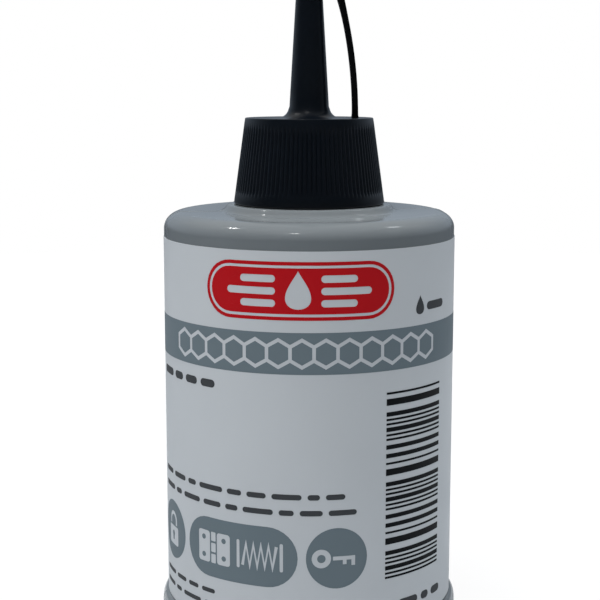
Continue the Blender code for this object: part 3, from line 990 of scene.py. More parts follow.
def bar(left, right, bottom, top, corner=0.0):
    """An upright rectangle, with rounded corners where a corner radius is given."""
    if corner <= 0.0:
        return [(left, bottom), (right, bottom), (right, top), (left, top)]
    corner = min(corner, (right - left) / 2, (top - bottom) / 2) * CORNER_SHARE
    points = []
    for x, y, start in (
        (right - corner, top - corner, 0),
        (left + corner, top - corner, 90),
        (left + corner, bottom + corner, 180),
        (right - corner, bottom + corner, 270),
    ):
        points += arc((x, y), (corner, corner), start, start + 90, 8 if corner > 1.0 else 4)
    return points


def drop(centre, width, height):
    """A drop with its point up."""
    points = []
    for index in range(DROP_STEPS):
        phase = FULL_TURN * index / DROP_STEPS
        across = math.sin(phase) * math.sin(phase / 2) ** 1.5 * width / (2 * DROP_WIDEST)
        points.append((centre[0] + across, centre[1] + math.cos(phase) * height / 2))
    return points


def stroke(points, width):
    """The outline of an open line of that width, with mitred corners."""
    left, right = [], []
    for index, point in enumerate(points):
        here = Vector(point)
        before = Vector(points[max(index - 1, 0)])
        after = Vector(points[min(index + 1, len(points) - 1)])
        into = (here - before) if index else (after - here)
        out = (after - here) if index < len(points) - 1 else into
        middle = (into.normalized() + out.normalized()).normalized()
        reach = width / 2 / max(MITRE_LIMIT, middle.dot(out.normalized()))
        side = Vector((-middle.y, middle.x)) * reach
        left.append(tuple(here + side))
        right.append(tuple(here - side))
    return left + right[::-1]


def flat_print(name, outlines):
    """A thin closed plate of the outlines, in millimetres; an outline inside another is a hole."""
    curve = bpy.data.curves.new(name, "CURVE")
    curve.dimensions = "2D"
    curve.fill_mode = "BOTH"
    curve.extrude = PRINT_THICKNESS / 2
    for outline in outlines:
        spline = curve.splines.new("POLY")
        spline.points.add(len(outline) - 1)
        for point, (across, up) in zip(spline.points, outline):
            point.co = (across, up, 0.0, 1.0)
        spline.use_cyclic_u = True
    guide = bpy.data.objects.new(name + "_outline", curve)
    bpy.context.scene.collection.objects.link(guide)
    bpy.context.view_layer.update()
    depsgraph = bpy.context.evaluated_depsgraph_get()
    mesh = bpy.data.meshes.new_from_object(guide.evaluated_get(depsgraph), depsgraph=depsgraph)
    bpy.data.objects.remove(guide, do_unlink=True)
    shape = bmesh.new()
    shape.from_mesh(mesh)
    bpy.data.meshes.remove(mesh)
    bmesh.ops.remove_doubles(shape, verts=shape.verts, dist=PRINT_WELD)
    return shape


def wrapped_print(name, outlines, settings):
    """A printed shape, cut into narrow columns and wrapped round the film."""
    shape = flat_print(name, outlines)
    lowest = min(corner.co.x for corner in shape.verts)
    highest = max(corner.co.x for corner in shape.verts)
    cut = math.ceil(lowest / WRAP_STEP) * WRAP_STEP
    while cut < highest:
        bmesh.ops.bisect_plane(
            shape,
            geom=[*shape.verts, *shape.edges, *shape.faces],
            dist=PRINT_WELD,
            plane_co=(cut, 0.0, 0.0),
            plane_no=(1.0, 0.0, 0.0),
        )
        cut += WRAP_STEP
    for corner in shape.verts:
        across = corner.co.x * MM
        radius = FILM_RADIUS + film_rise(settings, across) + corner.co.z * MM
        angle = across / FILM_RADIUS
        height = LABEL_BOTTOM + corner.co.y * MM
        corner.co = (radius * math.sin(angle), -radius * math.cos(angle), height)
    return finish_mesh(shape, name)


LABEL_HEIGHT = (LABEL_TOP - LABEL_BOTTOM) / MM
BAND_TOP = LABEL_HEIGHT - 10.25
BAND_BOTTOM = LABEL_HEIGHT - 15.62
CELL_RADIUS = 1.75
CELL_STROKE = 0.46
CELL_COUNT = 13
CAPSULE_CENTRE = (-1.5, LABEL_HEIGHT - 5.0)
CAPSULE_HEIGHT = 7.4
CAPSULE_WIDTH = 25.6
CAPSULE_LINE = (0.45, 0.8)
CAPSULE_BARS = ((1, 4.7), (0, 6.6), (-1, 4.7))
CAPSULE_BAR_START = 2.9
CAPSULE_BAR_PITCH = 1.55
CAPSULE_BAR_HALF = 0.47
TILE_BOTTOM = LABEL_HEIGHT - 43.8
TILE_TOP = LABEL_HEIGHT - 35.7
TILE_ROW_RIGHT = 7.6
TILE_GAP = 1.05
WIDE_TILE_WIDTH = 17.1
BARS_LEFT = 10.3
BARS_RIGHT = 20.9
BARS_BOTTOM = LABEL_HEIGHT - 43.4
BARS_TOP = LABEL_HEIGHT - 18.3
BAR_MODULE = 0.29
BAR_RHYTHM = (1, 1, 2, 1, 1, 2, 3, 1, 2, 2)
RULE_LENGTH = 2.9
RULE_VARIATION = 1.3
RULE_RHYTHM = 2.4
RULE_GAP = 0.75
# Left and right end, level, thickness, and the phase that starts the row's rhythm
FRONT_RULES = (
    (-27.0, 4.6, LABEL_HEIGHT - 31.6, 0.72, 0.4),
    (-27.0, 6.4, LABEL_HEIGHT - 33.7, 0.72, 2.1),
    (-27.0, -13.2, LABEL_HEIGHT - 17.7, 1.05, 1.2),
    (-27.0, -13.5, LABEL_HEIGHT - 45.8, 0.6, 0.9),
    (-27.0, -11.5, LABEL_HEIGHT - 47.6, 0.6, 2.6),
    (8.6, 21.6, LABEL_HEIGHT - 47.2, 1.1, 0.2),
    (17.3, 23.2, LABEL_HEIGHT - 7.9, 1.1, 1.5),
)
BACK_RULE_TOP = LABEL_HEIGHT - 19.0
BACK_RULE_PITCH = 2.1
BACK_RULE_THICKNESS = 0.55
SIDE_RULES_LEFT = 32.0
SIDE_RULES_RIGHT = 55.0
SIDE_RULE_COUNT = 11
PANEL_LEFT = -55.0
PANEL_RIGHT = -34.0
PANEL_BOTTOM = LABEL_HEIGHT - 45.5
PANEL_TOP = LABEL_HEIGHT - 36.5
PANEL_LINE = 0.3
PANEL_CORNER = 1.0
PANEL_RULE_COUNT = 8


def honeycomb(centre):
    """One row of joined hexagonal cells: the row's outer edge and the inside of each cell."""
    pitch = CELL_RADIUS * math.sqrt(3)
    rise = CELL_STROKE / math.sqrt(3)
    first = centre[0] - pitch * (CELL_COUNT - 1) / 2
    upper = []
    for cell in range(CELL_COUNT):
        middle = first + pitch * cell
        upper.append((middle - pitch / 2, centre[1] + CELL_RADIUS / 2 + rise))
        upper.append((middle, centre[1] + CELL_RADIUS + rise))
    left = first - pitch / 2 - CELL_STROKE / 2
    right = first + pitch * (CELL_COUNT - 0.5) + CELL_STROKE / 2
    upper[0] = (left, centre[1] + CELL_RADIUS / 2 + rise / 2)
    upper.append((right, upper[0][1]))
    lower = [(across, 2 * centre[1] - up) for across, up in reversed(upper)]
    inner = CELL_RADIUS - rise
    middles = [(first + pitch * cell, centre[1]) for cell in range(CELL_COUNT)]
    return [upper + lower, *[polygon(middle, inner, 6, math.pi / 6) for middle in middles]]


def band_outlines():
    """The grey band all the way round, with a row of cells left unprinted in it."""
    half_way = math.pi * FILM_RADIUS / MM - 0.02
    middle = (BAND_TOP + BAND_BOTTOM) / 2
    return [bar(-half_way, half_way, BAND_BOTTOM, BAND_TOP), *honeycomb((-1.0, middle))]


def capsule(inset):
    """The red capsule's outline, drawn in by an inset."""
    x, y = CAPSULE_CENTRE
    wide = CAPSULE_WIDTH / 2 - inset
    high = CAPSULE_HEIGHT / 2 - inset
    return bar(x - wide, x + wide, y - high, y + high, high)


def capsule_outlines():
    """The red capsule with a thin line, a drop and three tapering bars at each side left unprinted."""
    x, y = CAPSULE_CENTRE
    half = CAPSULE_BAR_HALF
    outlines = [capsule(0.0), *map(capsule, CAPSULE_LINE), drop((x, y + 0.15), 3.3, 4.9)]
    for side in (-1, 1):
        for row, length in CAPSULE_BARS:
            near = x + side * CAPSULE_BAR_START
            far = near + side * length
            level = y + CAPSULE_BAR_PITCH * row
            outlines.append(bar(min(near, far), max(near, far), level - half, level + half, half))
    return outlines


def padlock(centre):
    """A padlock: its body with a keyhole, and its shackle."""
    x, y = centre
    body = bar(x - 1.75, x + 1.75, y - 2.2, y + 0.45, 0.35)
    keyhole = [*arc((x, y - 0.6), (0.42, 0.42), -50, 230, 10), (x - 0.22, y - 1.5), (x + 0.22, y - 1.5)]
    bow = arc((x, y + 1.2), (1.1, 1.1), 180, 0, 10)
    shackle = stroke([(x - 1.1, y + 0.65), *bow, (x + 1.1, y + 0.65)], 0.5)
    return [body, keyhole, shackle]


def key(centre):
    """A key: its ring, and its shaft with two teeth."""
    x, y = centre
    ring = [circle((x - 1.55, y), 1.25), polygon((x - 1.55, y), 0.55, 20)]
    shaft = [
        (x - 0.05, y + 0.26),
        (x + 2.9, y + 0.26),
        (x + 2.9, y - 1.05),
        (x + 2.4, y - 1.05),
        (x + 2.4, y - 0.26),
        (x + 1.75, y - 0.26),
        (x + 1.75, y - 0.85),
        (x + 1.25, y - 0.85),
        (x + 1.25, y - 0.26),
        (x - 0.05, y - 0.26),
    ]
    return [*ring, shaft]


def hinge(centre):
    """An open door hinge: two leaves with screw holes and three knuckles between them."""
    x, y = centre
    outlines = []
    for side in (-1, 1):
        inner, outer = x + side * 0.62, x + side * 2.75
        outlines.append(bar(min(inner, outer), max(inner, outer), y - 2.15, y + 2.15, 0.4))
        for level in (-1.2, 1.2):
            outlines.append(circle((x + side * 1.75, y + level), 0.36))
    for row in (-1, 0, 1):
        outlines.append(bar(x - 0.4, x + 0.4, y + row * 1.5 - 0.62, y + row * 1.5 + 0.62, 0.12))
    return outlines


def coil_spring(centre):
    """A coil spring seen from the side, as one zigzag line between two end bars."""
    x, y = centre
    turns = 5
    points = []
    for index in range(2 * turns):
        points.append((x - 2.35 + index * 4.7 / (2 * turns - 1), y + (1.45 if index % 2 else -1.45)))
    ends = [bar(x + side * 3.0 - 0.22, x + side * 3.0 + 0.22, y - 1.9, y + 1.9, 0.2) for side in (-1, 1)]
    return [stroke(points, 0.42), *ends]


def tile_outlines():
    """Two round tiles with a wide one between them, each with unprinted pictures in it."""
    size = TILE_TOP - TILE_BOTTOM
    middle = (TILE_TOP + TILE_BOTTOM) / 2
    right_centre = TILE_ROW_RIGHT - size / 2
    wide_right = TILE_ROW_RIGHT - size - TILE_GAP
    wide_left = wide_right - WIDE_TILE_WIDTH
    left_centre = wide_left - TILE_GAP - size / 2
    return [
        circle((right_centre, middle), size / 2),
        *key((right_centre - 0.5, middle)),
        bar(wide_left, wide_right, TILE_BOTTOM, TILE_TOP, size / 2),
        *hinge((wide_left + 0.29 * WIDE_TILE_WIDTH, middle)),
        *coil_spring((wide_left + 0.70 * WIDE_TILE_WIDTH, middle)),
        circle((left_centre, middle), size / 2),
        *padlock((left_centre, middle)),
    ]


def bar_block_outlines():
    """A block of level bars in a plain repeating rhythm, which stand for no number."""
    outlines = []
    level = BARS_BOTTOM
    step = 0
    while True:
        thick = BAR_RHYTHM[step % len(BAR_RHYTHM)] * BAR_MODULE
        if level + thick > BARS_TOP:
            return outlines
        outlines.append(bar(BARS_LEFT, BARS_RIGHT, level, level + thick))
        level += thick + BAR_RHYTHM[(3 * step + 1) % len(BAR_RHYTHM)] * BAR_MODULE
        step += 1


def rule_row(left, right, level, thick, phase):
    """One row of short rules, word-long, where small print would be; the phase starts its rhythm."""
    outlines = []
    across = left
    step = 0
    while across < right - thick:
        length = RULE_LENGTH + RULE_VARIATION * math.sin(RULE_RHYTHM * step + phase)
        end = min(right, across + length)
        outlines.append(bar(across, end, level - thick / 2, level + thick / 2, thick / 2))
        across = end + RULE_GAP
        step += 1
    return outlines


def rules_outlines():
    """The rows of rules at the front and beyond the bar block, and the small drop."""
    outlines = [drop((15.9, LABEL_HEIGHT - 7.6), 1.6, 2.5)]
    for row in FRONT_RULES:
        outlines += rule_row(*row)
    for index in range(SIDE_RULE_COUNT):
        right = SIDE_RULES_RIGHT - 6.0 * (index % 4 == 3)
        level = BACK_RULE_TOP - BACK_RULE_PITCH * index
        outlines += rule_row(SIDE_RULES_LEFT, right, level, BACK_RULE_THICKNESS, 1.7 * index)
    return outlines


def panel_outlines():
    """An empty ruled box at the back, where a filler would stamp a date, and rows of rules above it."""
    outlines = []
    for inset in (0.0, PANEL_LINE):
        sides = (PANEL_LEFT + inset, PANEL_RIGHT - inset, PANEL_BOTTOM + inset, PANEL_TOP - inset)
        outlines.append(bar(*sides, PANEL_CORNER - inset))
    for index in range(PANEL_RULE_COUNT):
        level = BACK_RULE_TOP - BACK_RULE_PITCH * index
        outlines += rule_row(PANEL_LEFT, PANEL_RIGHT, level, BACK_RULE_THICKNESS, 0.8 + 1.3 * index)
    return outlines


def make_prints(settings):
    """Everything printed on the film, one piece for each ink and group of shapes."""
    film = settings.film_colour
    grey = ink_material("grey_ink", settings.band_colour, film, 0.10)
    red = ink_material("red_ink", settings.badge_colour, film, 0.08)
    dark = ink_material("black_ink", settings.dark_ink_colour, film, 0.03)
    rules = ink_material("rule_ink", settings.rule_ink_colour, film, 0.12)
    prints = [
        ("label_grey_band", band_outlines(), grey),
        ("label_red_capsule", capsule_outlines(), red),
        ("label_picture_tiles", tile_outlines(), grey),
        ("label_bar_block", bar_block_outlines(), dark),
        ("label_small_rules", rules_outlines(), rules),
        ("label_back_panel", panel_outlines(), rules),
    ]
    for name, outlines, ink in prints:
        place(wrapped_print(name, outlines, settings), "bottle", None, ink)


# The caps

def cap_plastic(name, settings):
    """The near-black plastic of the nozzle cap and of the tip cap."""
    return plastic_material(
        name,
        settings.colour,
        # Lighter colour on raised edges and rib crests: partly wear, partly painted highlight.
        scaled(settings.colour, 2.2),
        roughness=0.30,
        drift=0.08,
        wave_scale=300.0,
        bump_distance=PLASTIC_BUMP,
        gloss=0.34,
        coat=0.2,
    )


def rib_lift(settings):
    """Rounded grip ribs: a lift that sinks the grooves, fading out before the smooth bands."""
    def lift(angle, radius, height):
        groove = 1.0 - abs(math.cos(settings.rib_count * angle / 2))
        fade = smooth_step(RIB_TOP, RIB_TOP - RIB_TOP_FADE, height)
        fade *= smooth_step(RIB_BOTTOM, RIB_BOTTOM + RIB_BOTTOM_FADE, height)
        return -settings.rib_depth * groove * fade
    return lift


def skirt_radius(height):
    """The skirt's outer radius at a height."""
    return DECK_RADIUS + SKIRT_TAPER * (DECK_Z - height) / SKIRT_HEIGHT


def spout_radius(height):
    """The spout's outer radius at a height."""
    share = (height - DECK_Z) / (SPOUT_TIP_Z - DECK_Z)
    return SPOUT_BASE_RADIUS + (SPOUT_TIP_RADIUS - SPOUT_BASE_RADIUS) * share


def on_skirt(high, low, steps):
    """Points down the skirt's side between two heights."""
    return line((skirt_radius(high), high), (skirt_radius(low), low), steps)


def make_nozzle(settings):
    """The nozzle cap in one moulding: spout, deck, ribbed skirt, mouth, thread and channel."""
    ribs = rib_lift(settings)
    thread = thread_lift(CAP_THREAD_DELAY_TURNS, CAP_THREAD_Z, CAP_THREAD_TURNS)
    full_top = RIB_TOP - RIB_TOP_FADE
    full_bottom = RIB_BOTTOM + RIB_BOTTOM_FADE
    rim_centre = (skirt_radius(RIM_Z + RIM_ROUNDING) - RIM_ROUNDING, RIM_Z + RIM_ROUNDING)
    fillet = (SPOUT_BASE_RADIUS + SPOUT_FILLET, DECK_Z + SPOUT_FILLET)
    ceiling = DECK_Z - DECK_THICKNESS
    relief_top = RIM_Z + 2 * MOUTH_RELIEF
    bore_rows = round((ceiling - relief_top) / (1.5 * THREAD_ROW))
    channel = SPOUT_BASE_RADIUS - SPOUT_WALL
    tip_corner = (SPOUT_TIP_RADIUS - SPOUT_TIP_EDGE, SPOUT_TIP_Z - SPOUT_TIP_EDGE)
    side_top = SPOUT_TIP_Z - 2 * SPOUT_TIP_EDGE
    spout_side = line((spout_radius(side_top), side_top), (spout_radius(fillet[1]), fillet[1]), 12)
    profile = [
        *with_lift(arc(tip_corner, (SPOUT_TIP_EDGE,) * 2, 90, 0, 4), None),
        *with_lift(spout_side, None),
        *with_lift(arc(fillet, (SPOUT_FILLET, SPOUT_FILLET), 192, 270), None),
        (DECK_RADIUS - DECK_EDGE, DECK_Z, None),
        *with_lift(arc((DECK_RADIUS - DECK_EDGE, DECK_Z - DECK_EDGE), (DECK_EDGE,) * 2, 80, 5, 5), None),
        *with_lift(on_skirt(RIB_TOP, full_top, 6), ribs),
        *with_lift(on_skirt(full_top, full_bottom, 6)[1:-1], ribs),
        *with_lift(on_skirt(full_bottom, RIB_BOTTOM, 5), ribs),
        *with_lift(arc(rim_centre, (RIM_ROUNDING, RIM_ROUNDING), 0, -90, 8), None),
        (CAP_BORE + MOUTH_RELIEF, RIM_Z, None),
        (CAP_BORE + MOUTH_RELIEF, RIM_Z + MOUTH_RELIEF, None),
        *with_lift(line((CAP_BORE, relief_top), (CAP_BORE, ceiling), bore_rows), thread),
        (channel, ceiling, None),
        (channel, DECK_Z, None),
        (ORIFICE_RADIUS, SPOUT_TIP_Z - ORIFICE_LENGTH, None),
        (ORIFICE_RADIUS, SPOUT_TIP_Z, None),
    ]
    cap = turned("ribbed_nozzle_cap", profile, columns(RIB_COLUMNS * settings.rib_count), closed=True)
    plastic = cap_plastic("nozzle_plastic", settings)
    return place(cap, "nozzle", "nozzle_cap", plastic)


def flute_lift(settings):
    """Shallow grip flutes on the tip cap's side, fading out at both ends."""
    low = TIP_CAP_Z + TIP_FLANGE_HEIGHT
    high = TIP_HIGH.z - TIP_EDGE

    def lift(angle, radius, height):
        groove = (0.5 - 0.5 * math.cos(FLUTE_COUNT * angle)) ** 2
        fade = smooth_step(low + FLUTE_FADE, low + 2 * FLUTE_FADE, height)
        fade *= smooth_step(high, high - FLUTE_FADE, height)
        return -settings.flute_depth * groove * fade
    return lift


def make_tip(settings):
    """The tip cap: domed and fluted sleeve, flange, bore and sealing pin."""
    flange_top = TIP_CAP_Z + TIP_FLANGE_HEIGHT
    edge = TIP_FLANGE_EDGE
    bore_bottom = spout_radius(TIP_CAP_Z) + TIP_CLEARANCE
    bore_top = SPOUT_TIP_RADIUS + TIP_CLEARANCE
    pin_low = TIP_BORE_TOP - PIN_LENGTH
    side = line((TIP_RADIUS, TIP_HIGH.z - TIP_EDGE), (TIP_RADIUS, flange_top + edge), 24)
    profile = [
        (0.0, TIP_HIGH.z, None),
        *with_lift(arc((TIP_RADIUS - TIP_EDGE, TIP_HIGH.z - TIP_EDGE), (TIP_EDGE, TIP_EDGE), 90, 0), None),
        *with_lift(side[1:], flute_lift(settings)),
        *with_lift(arc((TIP_RADIUS + edge, flange_top + edge), (edge, edge), 180, 270, 4)[1:], None),
        *with_lift(arc((TIP_FLANGE_RADIUS - edge, flange_top - edge), (edge, edge), 90, 0, 4), None),
        *with_lift(arc((TIP_FLANGE_RADIUS - edge, TIP_CAP_Z + edge), (edge, edge), 0, -90, 4), None),
        (bore_bottom, TIP_CAP_Z, None),
        (bore_top, TIP_BORE_TOP, None),
        (PIN_RADIUS, TIP_BORE_TOP, None),
        (PIN_RADIUS, pin_low + PIN_RADIUS / 2, None),
        (PIN_RADIUS / 2, pin_low, None),
        (0.0, pin_low, None),
    ]
    cap = turned("tip_closure", profile, columns(SMALL_COLUMNS))
    plastic = cap_plastic("tip_cap_plastic", settings)
    place(cap, "tip", "tip_cap", plastic)
    place(make_lug(), "tip", None, plastic)
    return cap


def make_lug():
    """The rounded block on the tip cap's flange that the strap runs up into."""
    shape = bmesh.new()
    bmesh.ops.create_cube(shape, size=1.0)
    middle = (TIP_RADIUS + TIP_HIGH.x) / 2
    for corner in shape.verts:
        corner.co.x = middle + corner.co.x * (TIP_HIGH.x - TIP_RADIUS)
        corner.co.y *= STRAP_WIDTH
        corner.co.z = TIP_CAP_Z + (corner.co.z + 0.5) * TIP_FLANGE_HEIGHT
    bmesh.ops.bevel(
        shape,
        geom=list(shape.edges),
        offset=TIP_FLANGE_EDGE,
        segments=4,
        profile=0.5,
        affect="EDGES",
    )
    return finish_mesh(shape, "strap_lug", LUG_SHARP_ANGLE)


# The strap

def strap_centre(height):
    """How far the strap's middle has come in towards the axis at a height above the frame's root."""
    lean = STRAP_ROOT_X - STRAP_TOP_X
    bend = (STRAP_HEIGHT ** 2 + lean ** 2) / (2 * lean)
    return bend - math.sqrt(bend ** 2 - max(0.0, height) ** 2)


def strap_thickness(height):
    """The strap's thickness: even, then swelling over its last part towards the lug."""
    share_left = max(0.0, 1.0 - height / STRAP_HEIGHT)
    swell = max(0.0, 1.0 - share_left / STRAP_THICKENING_SHARE) ** 2
    return STRAP_THICKNESS + (STRAP_TOP_THICKNESS - STRAP_THICKNESS) * swell


def make_strap(settings):
    """The flat strap, moulded onto the deck at its foot and into the lug at its top."""
    low = -SEAT_GAP - STRAP_SEAT
    high = STRAP_HEIGHT + SEAT_GAP + STRAP_SEAT
    rows = line((low,), (high,), STRAP_ROWS)
    shape = bmesh.new()
    rings = []
    for (height,) in rows:
        foot = settings.foot_flare * math.exp(-(height - low) / SEAT_GAP)
        half_thick = strap_thickness(height) / 2 + foot
        half_wide = STRAP_WIDTH / 2 + foot
        middle = STRAP_ROOT_X - strap_centre(height)
        outline = bar(-half_thick, half_thick, -half_wide, half_wide, STRAP_CORNER)
        level = STRAP_LOW.z + height
        rings.append([shape.verts.new((middle + across, along, level)) for across, along in outline])
    for lower, upper in zip(rings, rings[1:]):
        for here in range(len(lower)):
            there = (here + 1) % len(lower)
            shape.faces.new((lower[here], lower[there], upper[there], upper[here]))
    shape.faces.new(rings[0][::-1])
    shape.faces.new(rings[-1])
    bmesh.ops.remove_doubles(shape, verts=shape.verts, dist=WELD)
    strap = finish_mesh(shape, "cap_strap")
    plastic = plastic_material(
        "strap_plastic",
        settings.colour,
        # Lighter colour on raised edges: partly wear, partly painted highlight.
        scaled(settings.colour, 2.5),
        roughness=0.40,
        drift=0.10,
        wave_scale=300.0,
        bump_distance=PLASTIC_BUMP,
        gloss=0.12,
    )
    strap.data.materials.append(plastic)
    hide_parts("tether_strap")
    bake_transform(strap)
    return strap


# The filling

def paste_ripple(angle, radius, height):
    """The lift of the paste's uneven top."""
    share = radius / GREASE_HIGH.x
    swirl = math.sin(3 * angle + 9.0 * share) + 0.6 * math.sin(5 * angle - 14.0 * share)
    return RIPPLE_HEIGHT * (swirl - 1.6) * share * (1.0 - share)


def make_filling(settings):
    """The paste, with its uneven top, and the foam washer."""
    radius = GREASE_HIGH.x
    low, top = GREASE_LOW.z, GREASE_HIGH.z
    edge = GREASE_EDGE
    profile = [
        (0.0, top, None),
        *with_lift(line((radius * 0.05, top), (radius - edge, top), 24), paste_ripple),
        *with_lift(arc((radius - edge, top - edge), (edge, edge), 80, 0, 5), None),
        *with_lift(arc((radius - FLOOR_CORNER, low + FLOOR_CORNER), (FLOOR_CORNER,) * 2, 0, -90, 8), None),
        *with_lift(push_up(low, outwards=False), None),
    ]
    paste = turned("paste_filling", profile, columns(GREASE_COLUMNS))
    place(paste, "bottle", "graphite_grease", paste_material(settings.paste_colour))

    outer, inner = WASHER_HIGH.x, WASHER_BORE_RADIUS
    low, top = WASHER_LOW.z, WASHER_HIGH.z
    edge = WASHER_EDGE
    ring = [
        *arc((outer - edge, top - edge), (edge, edge), 90, 0, 4),
        *arc((outer - edge, low + edge), (edge, edge), 0, -90, 4),
        *arc((inner + edge, low + edge), (edge, edge), 270, 180, 4),
        *arc((inner + edge, top - edge), (edge, edge), 180, 90, 4),
    ]
    washer = turned("foam_washer", with_lift(ring, None), columns(SMALL_COLUMNS), closed=True)
    place(washer, "washer", "sealing_washer", foam_material(settings.washer_colour))


# The studio

CAMERA_LENS = 83.38
CAMERA_SENSOR = 36.0
CAMERA_PLACE = (-1.25 * MM, -191.2 * MM, 76.8 * MM)
CAMERA_PITCH_DOWN = 0.1556
CAMERA_CLIP_START = 0.01
FLOOR_DROP = 0.05 * MM
FLOOR_SEGMENTS = 128
FLOOR_ROUGHNESS = 0.9
FLOOR_WHITE_NEAR = 0.87
FLOOR_WHITENS_FROM = 0.2
FLOOR_WHITE_BEYOND = 0.7
FLOOR_WHITE_STRENGTH = 1.06
# Azimuth and elevation in degrees, distance and size in metres, power in watts, colour, seen in gloss
LAMPS = {
    "key_lamp": (-45.0, 68.0, 0.60, 0.35, 4.9, (1.0, 0.975, 0.96), False),
    "side_lamp": (98.0, 54.0, 0.60, 0.35, 1.8, (0.98, 0.98, 0.98), False),
    "left_lamp": (-106.0, 56.5, 0.50, 0.025, 0.14, (1.0, 0.99, 0.97), True),
    "front_lamp": (-15.5, 56.6, 0.50, 0.032, 0.10, (1.0, 1.0, 1.0), True),
    "right_lamp": (118.0, 53.0, 0.50, 0.05, 0.05, (0.93, 0.97, 1.0), True),
}
LAMP_AIM = (0.0, 0.0, 55.0 * MM)
SKY_PEAK = (-0.25, -0.40, 0.88)
SKY_FALL = 2.0
SKY_HEIGHTS = (0.35, 0.75)
SKY_COLOUR = (1.0, 0.99, 0.98, 1.0)
HORIZON_COLOUR = (0.68, 0.82, 1.0, 1.0)
HORIZON_FRONT_SHARE = 0.10
HORIZON_DEPTHS = (-0.4, 0.6)
HORIZON_LOWEST_SHARE = 0.30
HORIZON_FULL_HEIGHT = 0.10
GLOSSY_SHARE = 0.03


def add_lamp(name, azimuth, elevation, distance, size, power, colour, glints):
    """One square lamp aimed at the bottle, seen or not seen in its gloss; azimuth 0 is at -Y, 90 at +X."""
    lamp = bpy.data.lights.new(name, "AREA")
    lamp.shape = "SQUARE"
    lamp.size = size
    lamp.energy = power
    lamp.color = colour
    holder = bpy.data.objects.new(name, lamp)
    holder.visible_glossy = glints
    around, up = math.radians(azimuth), math.radians(elevation)
    away = Vector((math.sin(around) * math.cos(up), -math.cos(around) * math.cos(up), math.sin(up)))
    holder.location = Vector(LAMP_AIM) + away * distance
    holder.rotation_euler = away.to_track_quat("Z", "Y").to_euler()
    bpy.context.scene.collection.objects.link(holder)


def white_share(tree):
    """How much of the white background a ray sees: all from the camera and through glass, less by gloss."""
    path = tree.nodes.new("ShaderNodeLightPath")
    gloss = add_math(tree, "MULTIPLY", path.outputs["Is Glossy Ray"], GLOSSY_SHARE)
    through = add_math(tree, "MAXIMUM", path.outputs["Is Transmission Ray"], gloss)
    return add_math(tree, "MAXIMUM", path.outputs["Is Camera Ray"], through)


def towards(tree, direction):
    """How far a ray into the surroundings points in a direction, from -1 to 1."""
    place_node = tree.nodes.new("ShaderNodeTexCoord")
    product = tree.nodes.new("ShaderNodeVectorMath")
    product.operation = "DOT_PRODUCT"
    product.inputs[1].default_value = direction
    tree.links.new(place_node.outputs["Generated"], product.inputs[0])
    return product.outputs["Value"]


def make_world(settings):
    """Soft light from above the front left, and a cool dim light from behind; the camera sees white."""
    world = bpy.data.worlds.new("studio")
    bpy.context.scene.world = world
    world.use_nodes = True
    tree = world.node_tree
    rise = towards(tree, (0.0, 0.0, 1.0))
    height = add_range(tree, rise, SKY_HEIGHTS, (0.0, 1.0), smooth=True)
    lean = add_math(tree, "POWER", add_math(tree, "MAXIMUM", towards(tree, SKY_PEAK), 0.0), SKY_FALL)
    above = add_math(tree, "MULTIPLY", add_math(tree, "MULTIPLY", height, lean), settings.sky_strength)
    depth = towards(tree, (0.0, 1.0, 0.0))
    behind = add_range(tree, depth, HORIZON_DEPTHS, (HORIZON_FRONT_SHARE, 1.0), smooth=True)
    dip = add_range(tree, rise, (0.0, HORIZON_FULL_HEIGHT), (HORIZON_LOWEST_SHARE, 1.0))
    level = add_math(tree, "MULTIPLY", add_math(tree, "MULTIPLY", behind, dip), settings.horizon_strength)
    light = tree.nodes["Background"]
    tree.links.new(add_mix(tree, height, HORIZON_COLOUR, SKY_COLOUR), light.inputs["Color"])
    tree.links.new(add_math(tree, "ADD", above, level), light.inputs["Strength"])
    white = tree.nodes.new("ShaderNodeBackground")
    white.inputs["Color"].default_value = (1.0, 1.0, 1.0, 1.0)
    mix = tree.nodes.new("ShaderNodeMixShader")
    tree.links.new(white_share(tree), mix.inputs["Fac"])
    tree.links.new(light.outputs["Background"], mix.inputs[1])
    tree.links.new(white.outputs["Background"], mix.inputs[2])
    tree.links.new(mix.outputs["Shader"], tree.nodes["World Output"].inputs["Surface"])


def floor_material(settings):
    """A pale matt floor that turns into the white surroundings towards its edge."""
    material, tree, shader = new_material("studio_floor")
    shader.inputs["Base Color"].default_value = rgba(settings.floor_colour)
    shader.inputs["Roughness"].default_value = FLOOR_ROUGHNESS
    shader.inputs["Specular IOR Level"].default_value = 0.0
    white = tree.nodes.new("ShaderNodeEmission")
    white.inputs["Strength"].default_value = FLOOR_WHITE_STRENGTH
    place_node = tree.nodes.new("ShaderNodeTexCoord")
    reach = tree.nodes.new("ShaderNodeVectorMath")
    reach.operation = "LENGTH"
    tree.links.new(place_node.outputs["Object"], reach.inputs[0])
    inner = FLOOR_WHITENS_FROM * settings.floor_radius
    outer = FLOOR_WHITE_BEYOND * settings.floor_radius
    whiteness = add_range(tree, reach.outputs["Value"], (inner, outer), (FLOOR_WHITE_NEAR, 1.0))
    share = add_math(tree, "MULTIPLY", whiteness, white_share(tree))
    mix = tree.nodes.new("ShaderNodeMixShader")
    tree.links.new(share, mix.inputs["Fac"])
    tree.links.new(shader.outputs["BSDF"], mix.inputs[1])
    tree.links.new(white.outputs["Emission"], mix.inputs[2])
    tree.links.new(mix.outputs["Shader"], tree.nodes["Material Output"].inputs["Surface"])
    return material


